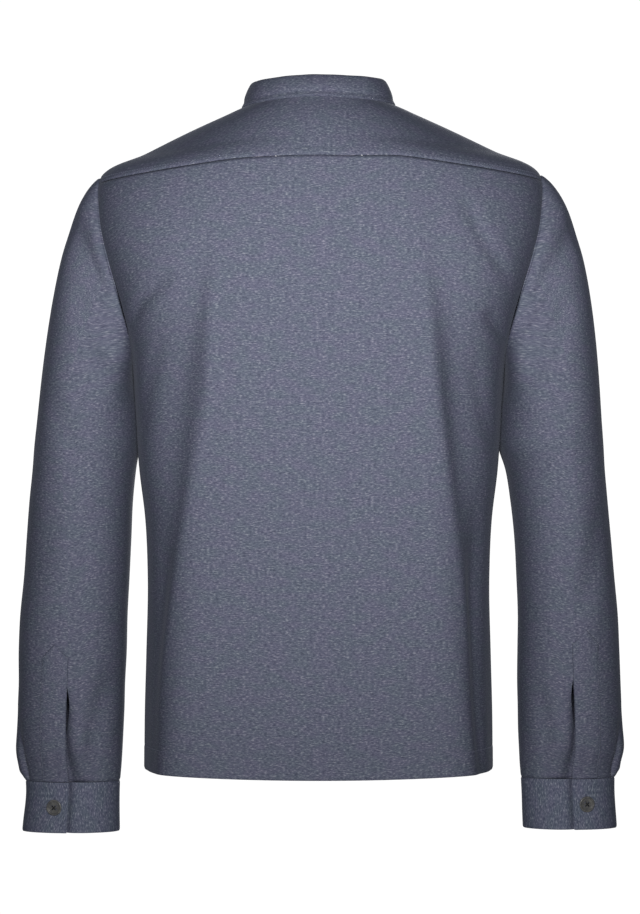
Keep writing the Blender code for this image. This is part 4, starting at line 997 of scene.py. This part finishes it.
def button_blank():
    """A round four-hole button: a rolled rim round a dished face, and a rounded back."""
    deselect()
    r, t = BUTTON_RADIUS * METRES, BUTTON_THICK * METRES
    bpy.ops.mesh.primitive_cylinder_add(vertices=64, radius=r, depth=0.8 * t, location=(0.0, 0.0, 0.4 * t))
    button = bpy.context.object
    button.name = "horn_blank"
    bpy.ops.object.mode_set(mode="EDIT")
    bpy.ops.mesh.select_mode(type="FACE")
    pick_faces(button, 1.0)
    for inwards, upwards in BUTTON_STEPS:
        bpy.ops.mesh.inset(thickness=inwards * r)
        bpy.ops.transform.translate(value=(0.0, 0.0, upwards * t))
    pick_faces(button, -1.0)
    bpy.ops.transform.resize(value=(0.86, 0.86, 1.0))
    bpy.ops.object.mode_set(mode="OBJECT")
    soft = button.modifiers.new("rolled", "BEVEL")
    soft.width = 0.0003
    soft.segments = 3
    soft.limit_method = "ANGLE"
    soft.angle_limit = math.radians(20.0)
    bpy.ops.object.modifier_apply(modifier=soft.name)
    spread = BUTTON_HOLE_SPREAD * METRES
    for x in (-1.0, 1.0):
        for y in (-1.0, 1.0):
            bpy.ops.object.select_all(action="DESELECT")
            bpy.ops.mesh.primitive_cylinder_add(
                vertices=20, radius=BUTTON_HOLE_RADIUS * METRES, depth=1.88 * t,
                location=(x * spread, y * spread, 1.06 * t),
            )
            drill = bpy.context.object
            bpy.context.view_layer.objects.active = button
            hole = button.modifiers.new("hole", "BOOLEAN")
            hole.operation, hole.object, hole.solver = "DIFFERENCE", drill, "EXACT"
            bpy.ops.object.modifier_apply(modifier=hole.name)
            bpy.data.objects.remove(drill)
    deselect()
    bpy.context.view_layer.objects.active = button
    button.select_set(True)
    bpy.ops.object.shade_smooth_by_angle(angle=math.radians(38.0))
    data = button.data
    bpy.data.objects.remove(button)
    return data


def place_button(name, blank, point, normal, horn, runs):
    facing = Vector(normal).normalized()
    seat = Vector(point) * METRES + facing * SEAM_GAP * METRES
    up = Vector((0.0, 0.0, 1.0))
    across = up.cross(facing).normalized()
    turn = Matrix((across, facing.cross(across), facing)).transposed()
    mesh = blank.copy()
    mesh.transform(Matrix.Translation(seat) @ turn.to_4x4())
    sewn(added(f"{name}_horn", mesh), name, horn)
    top = np.array(seat) / METRES + np.array(facing) * (BUTTON_THICK * 0.7)
    a, b, n = np.array(across), np.array(facing.cross(across)), np.array(facing)
    for way in (-1.0, 1.0):
        line = unit(a + b * way)
        for k in (-1.75, -0.6, 0.6, 1.75):
            for shift in (-0.25, 0.25):
                at = top + line * k + np.cross(n, line) * shift + n * (0.25 - 0.2 * abs(k))
                runs.append((at[None], line[None], n[None]))


def make_buttons(horn, collar, runs, thread_runs):
    blank = button_blank()
    neck_z = body_skin(2.0, NECK_LEVEL)[2]
    levels = np.linspace(0.0, NECK_LEVEL, 400)
    heights = body_skin(np.full(400, 2.0), levels)[:, 2]
    for k in range(FRONT_BUTTONS):
        level = float(np.interp(neck_z - FIRST_BUTTON_DROP - BUTTON_SPACING * k, heights, levels))
        normal = body_normals(np.array(2.0), np.array(level))
        lift = lap_offset(1.0, 0.0) + STRIP_CLOTH + SEAM_GAP
        point = body_skin(2.0, level) + normal * lift
        place_button(f"button_front_{k + 1}", blank, point, normal, horn, thread_runs)
        down = unit(np.cross(normal, (1.0, 0.0, 0.0)))
        buttonhole(runs, point + down * 3.0 * np.sign(-down[2]), normal, down)
    rows = collar[0]
    turns = np.argmin(np.abs(rows[len(rows) // 2, -30:, 0])) - 30
    at = np.argmin(np.abs(from_edges(rows)[0][:, turns] - 0.53 * COLLAR_HEIGHT))
    point, normal = collar[2][at, turns], collar[1][at, turns]
    place_button("button_collar", blank, point + normal * BUTTON_LIFT, normal, horn, thread_runs)
    across = unit(np.cross(normal, (0.0, 0.0, 1.0)))
    buttonhole(runs, point + across * 3.0, normal, across)
    middle = np.full((1, 1), CUFF_TOP_Z - CUFF_DROP / 2.0)
    for name, (side, drop, *_) in SIDES.items():
        point, normal = cuff_skin(side, np.full((1, 1), CUFF_BUTTON_INSET), middle)[:2]
        point = (point[0, 0] - (0.0, 0.0, drop)) * (side, 1.0, 1.0)
        normal = normal[0, 0] * (side, 1.0, 1.0)
        place_button(f"button_cuff_{name}", blank, point + normal * BUTTON_LIFT, normal, horn, thread_runs)
        across = unit(np.cross(normal, (0.0, 0.0, 1.0)))
        across = across * np.sign(across[0]) * side
        buttonhole(runs, point + across * 2.5 + normal * 0.1, normal, across)


# ---------------------------------------------------------------- materials
def new_material(name):
    material = bpy.data.materials.new(name)
    material.use_nodes = True
    return material, material.node_tree.nodes["Principled BSDF"]


def feed(material, node, **inputs):
    """Links or sets a node's inputs, given by name, with _ for each space, or as i and a number."""
    for key, source in inputs.items():
        numbered = key[0] == "i" and key[1:].isdigit()
        socket = node.inputs[int(key[1:]) if numbered else key.replace("_", " ")]
        if isinstance(source, bpy.types.NodeSocket):
            material.node_tree.links.new(source, socket)
        else:
            socket.default_value = source


def add_node(material, kind, settings=None, **inputs):
    """Adds a node to a material or a world, with its settings and what feeds its inputs."""
    node = material.node_tree.nodes.new(kind)
    for key, value in (settings or {}).items():
        if hasattr(node, key):
            setattr(node, key, value)
        else:
            node.inputs[key].default_value = value
    feed(material, node, **inputs)
    return node


def ranged(material, value, low, high, to_low=0.0, to_high=1.0):
    """A value carried from one range to another."""
    settings = {"From Min": low, "From Max": high, "To Min": to_low, "To Max": to_high}
    return add_node(material, "ShaderNodeMapRange", settings, Value=value).outputs["Result"]


def blended(material, share, first, second, kind="MIX"):
    """Two colours mixed by a share, or multiplied."""
    settings = {"data_type": "RGBA", "blend_type": kind}
    return add_node(material, "ShaderNodeMix", settings, i0=share, i6=first, i7=second).outputs[2]


def coloured(material, value, stops):
    """The colour at a value, from pairs of a place and an sRGB hex colour."""
    ramp = add_node(material, "ShaderNodeValToRGB", Fac=value)
    elements = ramp.color_ramp.elements
    elements[0].position, elements[1].position = stops[0][0], stops[-1][0]
    elements[0].color, elements[1].color = linear(stops[0][1]), linear(stops[-1][1])
    for place, colour in stops[1:-1]:
        elements.new(place).color = linear(colour)
    return ramp.outputs["Color"]


def speckled(material, place, scale, detail, **settings):
    """Noise at a scale in patches to the metre."""
    settings.update({"Scale": scale, "Detail": detail})
    return add_node(material, "ShaderNodeTexNoise", settings, Vector=place).outputs["Fac"]


def melange_knit(name, across=False):
    """Knitted melange jersey: soft, matt, of dyed and grey fibres spun together, which show as short streaks
    along each row of stitches. Cut across, its rows stand upright."""
    material, shader = new_material(name)
    where = add_node(material, "ShaderNodeUVMap", {"uv_map": "cloth"}).outputs["UV"]
    turn = (0.0, 0.0, math.radians(90.0) if across else 0.0)
    flat = add_node(material, "ShaderNodeMapping", {"Rotation": turn}, Vector=where).outputs["Vector"]

    def streaks(per_metre_along, per_metre_up, detail, offset):
        stretch = {"Scale": (per_metre_along, per_metre_up, 1.0), "Location": offset}
        place = add_node(material, "ShaderNodeMapping", stretch, Vector=flat).outputs["Vector"]
        return speckled(material, place, 1.0, detail, Roughness=0.6)

    # A streak is a bundle of fibres some 5 mm long, in a row 1.1 mm high. Real rows are half as high, which is
    # too fine to show.
    fine = streaks(330.0, 900.0, 2.0, (3.1, 7.7, 0.0))
    long = streaks(140.0, 480.0, 1.0, (9.3, 2.2, 0.0))
    both = add_node(material, "ShaderNodeMix", {"data_type": "FLOAT"}, i0=0.26, i2=fine, i3=long).outputs[0]
    colour = coloured(material, ranged(material, both, 0.34, 0.66), CUT_ACROSS_FIBRES if across else FIBRES)
    # The dyed fibres lean to violet in some rows and to green in others.
    lean = ranged(material, streaks(40.0, 70.0, 1.0, (1.7, 5.9, 0.0)), 0.35, 0.65)
    tints = blended(material, lean, linear("#fbf7ff"), linear("#f3faf9"))
    colour = blended(material, 1.0, colour, tints, "MULTIPLY")
    # Painted shade: cloth that turns away from the view is darkened towards its outline.
    turned = add_node(material, "ShaderNodeLayerWeight", {"Blend": 0.5}).outputs["Facing"]
    painted_edge_shade = blended(material, 1.0, colour, linear("#aaaeb8"), "MULTIPLY")
    colour = blended(material, ranged(material, turned, 0.04, 0.6), colour, painted_edge_shade)
    # The bump gives the soft roughness of raised loops and fibres.
    rough = streaks(900.0, 900.0, 2.0, (0.0, 4.4, 0.0))
    height = add_node(material, "ShaderNodeMix", {"data_type": "FLOAT"}, i0=0.5, i2=rough, i3=fine).outputs[0]
    bump = add_node(material, "ShaderNodeBump", {"Strength": 0.35, "Distance": 0.0005}, Height=height)
    feed(material, shader, Base_Color=colour, Normal=bump.outputs["Normal"])
    feed(material, shader, Roughness=0.92, Specular_IOR_Level=0.2)
    # A faint fuzz of fibre ends catches light at the outline.
    feed(material, shader, Sheen_Weight=0.12, Sheen_Roughness=0.5, Sheen_Tint=linear("#c8cede"))
    return material


def spun_thread(name, colour):
    """Spun polyester sewing thread, a little smoother than the cloth it holds."""
    material, shader = new_material(name)
    place = add_node(material, "ShaderNodeTexCoord").outputs["Object"]
    light = tuple(min(1.0, v * 1.35) for v in linear(colour)[:3]) + (1.0,)
    twist = speckled(material, place, 1500.0, 2.0)
    feed(material, shader, Base_Color=blended(material, twist, linear(colour), light), Roughness=0.7)
    return material


def horn_resin(name):
    """Cast polyester made to look like dark horn: a soft polish and faint brown and grey clouds."""
    material, shader = new_material(name)
    place = add_node(material, "ShaderNodeTexCoord").outputs["Object"]
    clouds = speckled(material, place, 160.0, 3.0, Distortion=1.2)
    # Wear leaves some spots duller than others.
    dull = ranged(material, speckled(material, place, 900.0, 2.0), 0.3, 0.7, 0.26, 0.4)
    feed(material, shader, Base_Color=coloured(material, clouds, HORN_CLOUDS), Roughness=dull)
    return material


# ---------------------------------------------------------------- studio
def make_studio():
    deselect()
    place = (0.0, 0.0, FLOOR_Z)
    bpy.ops.mesh.primitive_circle_add(vertices=96, radius=FLOOR_RADIUS, fill_type="NGON", location=place)
    floor = bpy.context.object
    floor.name = "studio_floor"
    bpy.ops.object.transform_apply(location=True, rotation=True, scale=True)
    paper, shader = new_material("white_paper_floor")
    place = add_node(paper, "ShaderNodeTexCoord").outputs["Object"]
    white = blended(paper, speckled(paper, place, 6.0, 2.0), linear("#fafafa"), linear("#ffffff"))
    feed(paper, shader, Base_Color=white, Roughness=0.9)
    floor.data.materials.append(paper)

    world = bpy.data.worlds.new("white_studio")
    bpy.context.scene.world = world
    world.use_nodes = True
    nodes = world.node_tree.nodes
    sky, white = nodes["Background"], (1.0, 1.0, 1.0, 1.0)
    feed(world, sky, Color=white, Strength=ROOM_LIGHT)
    seen = add_node(world, "ShaderNodeBackground", Color=white, Strength=BACKDROP_LIGHT)
    rays = add_node(world, "ShaderNodeLightPath").outputs["Is Camera Ray"]
    mix = add_node(world, "ShaderNodeMixShader", i0=rays, i1=sky.outputs[0], i2=seen.outputs[0])
    feed(world, nodes["World Output"], Surface=mix.outputs[0])

    scene = bpy.context.scene
    for name, place, aim, size, watts, spread in SOFTBOXES:
        light = bpy.data.lights.new(name, "AREA")
        light.shape, light.energy, light.spread = "RECTANGLE", watts, math.radians(spread)
        light.size, light.size_y = size
        lamp = added(name, light)
        lamp.location = place
        lamp.rotation_euler = (Vector(aim) - Vector(place)).to_track_quat("-Z", "Y").to_euler()
    scene.view_settings.view_transform = "Standard"
    scene.view_settings.look = "None"

    view = bpy.data.cameras.new("camera_behind")
    view.sensor_width = 36.0
    view.lens = CAMERA_LENS
    view.clip_end = 60.0
    camera = added("camera_behind", view)
    camera.location = CAMERA_PLACE
    camera.rotation_euler = (math.radians(90.0), 0.0, math.radians(180.0))
    scene.camera = camera


def main():
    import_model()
    make_studio()
    jersey = melange_knit("melange_jersey_knit")
    jersey_across = melange_knit("melange_jersey_knit_cut_across", across=True)
    thread = spun_thread("blue_grey_sewing_thread", "#5d6172")
    dark_thread = spun_thread("dark_button_thread", "#151517")
    horn = horn_resin("dark_horn_resin")

    back = make_back(jersey)
    *yoke, yoke_edge = make_yoke(jersey)
    fronts = [make_front(side, f"front_{name}", jersey) for name, (side, *_) in SIDES.items()]
    band = make_band(jersey)
    collar = make_collar(jersey)
    plackets, cuffs = {}, []
    for name in SIDES:
        make_sleeve(name, jersey)
        plackets[name] = make_placket(name, jersey)
        cuffs.append(make_cuff(name, jersey_across))

    runs = []
    in_seam = (yoke_edge >= YOKE_SEAM_ENDS[0] + 0.2) & (yoke_edge <= YOKE_SEAM_ENDS[1] - 0.2)
    for row in TOPSTITCH:
        sew_beside(runs, yoke[0][:, in_seam], yoke[1][:, in_seam], 0, row)
        sew_beside(runs, *yoke, 2, row)
        sew_beside(runs, *yoke, 3, row)
    for panel in (back, *fronts):
        sew_beside(runs, *panel, 0, HEM_STITCH)
    sew_beside(runs, *band, 2, BAND_STITCH)
    sew_beside(runs, *band, 3, BAND_STITCH)
    sew_beside(runs, *collar[:2], 0, COLLAR_STITCH)
    for name, (skin, normals, z) in plackets.items():
        sew_beside(runs, skin, normals, 1, EDGE_STITCH)
        sew_beside(runs, skin, normals, 2, EDGE_STITCH, -6)
        sew_beside(runs, skin, normals, 3, EDGE_STITCH, -6)
        sew(runs, *line_at(skin, normals, z - z.min(), SIDES[name][3] + PLACKET_CROSS - z.min()))
    for cuff in cuffs:
        sew_beside(runs, *cuff, 0, EDGE_STITCH)
    hole_runs, thread_runs = [], []
    make_buttons(horn, collar, hole_runs, thread_runs)
    make_stitching("seam_stitching", runs, thread)
    make_stitching("buttonhole_stitching", hole_runs, thread)
    make_stitching("button_thread", thread_runs, dark_thread)


main()
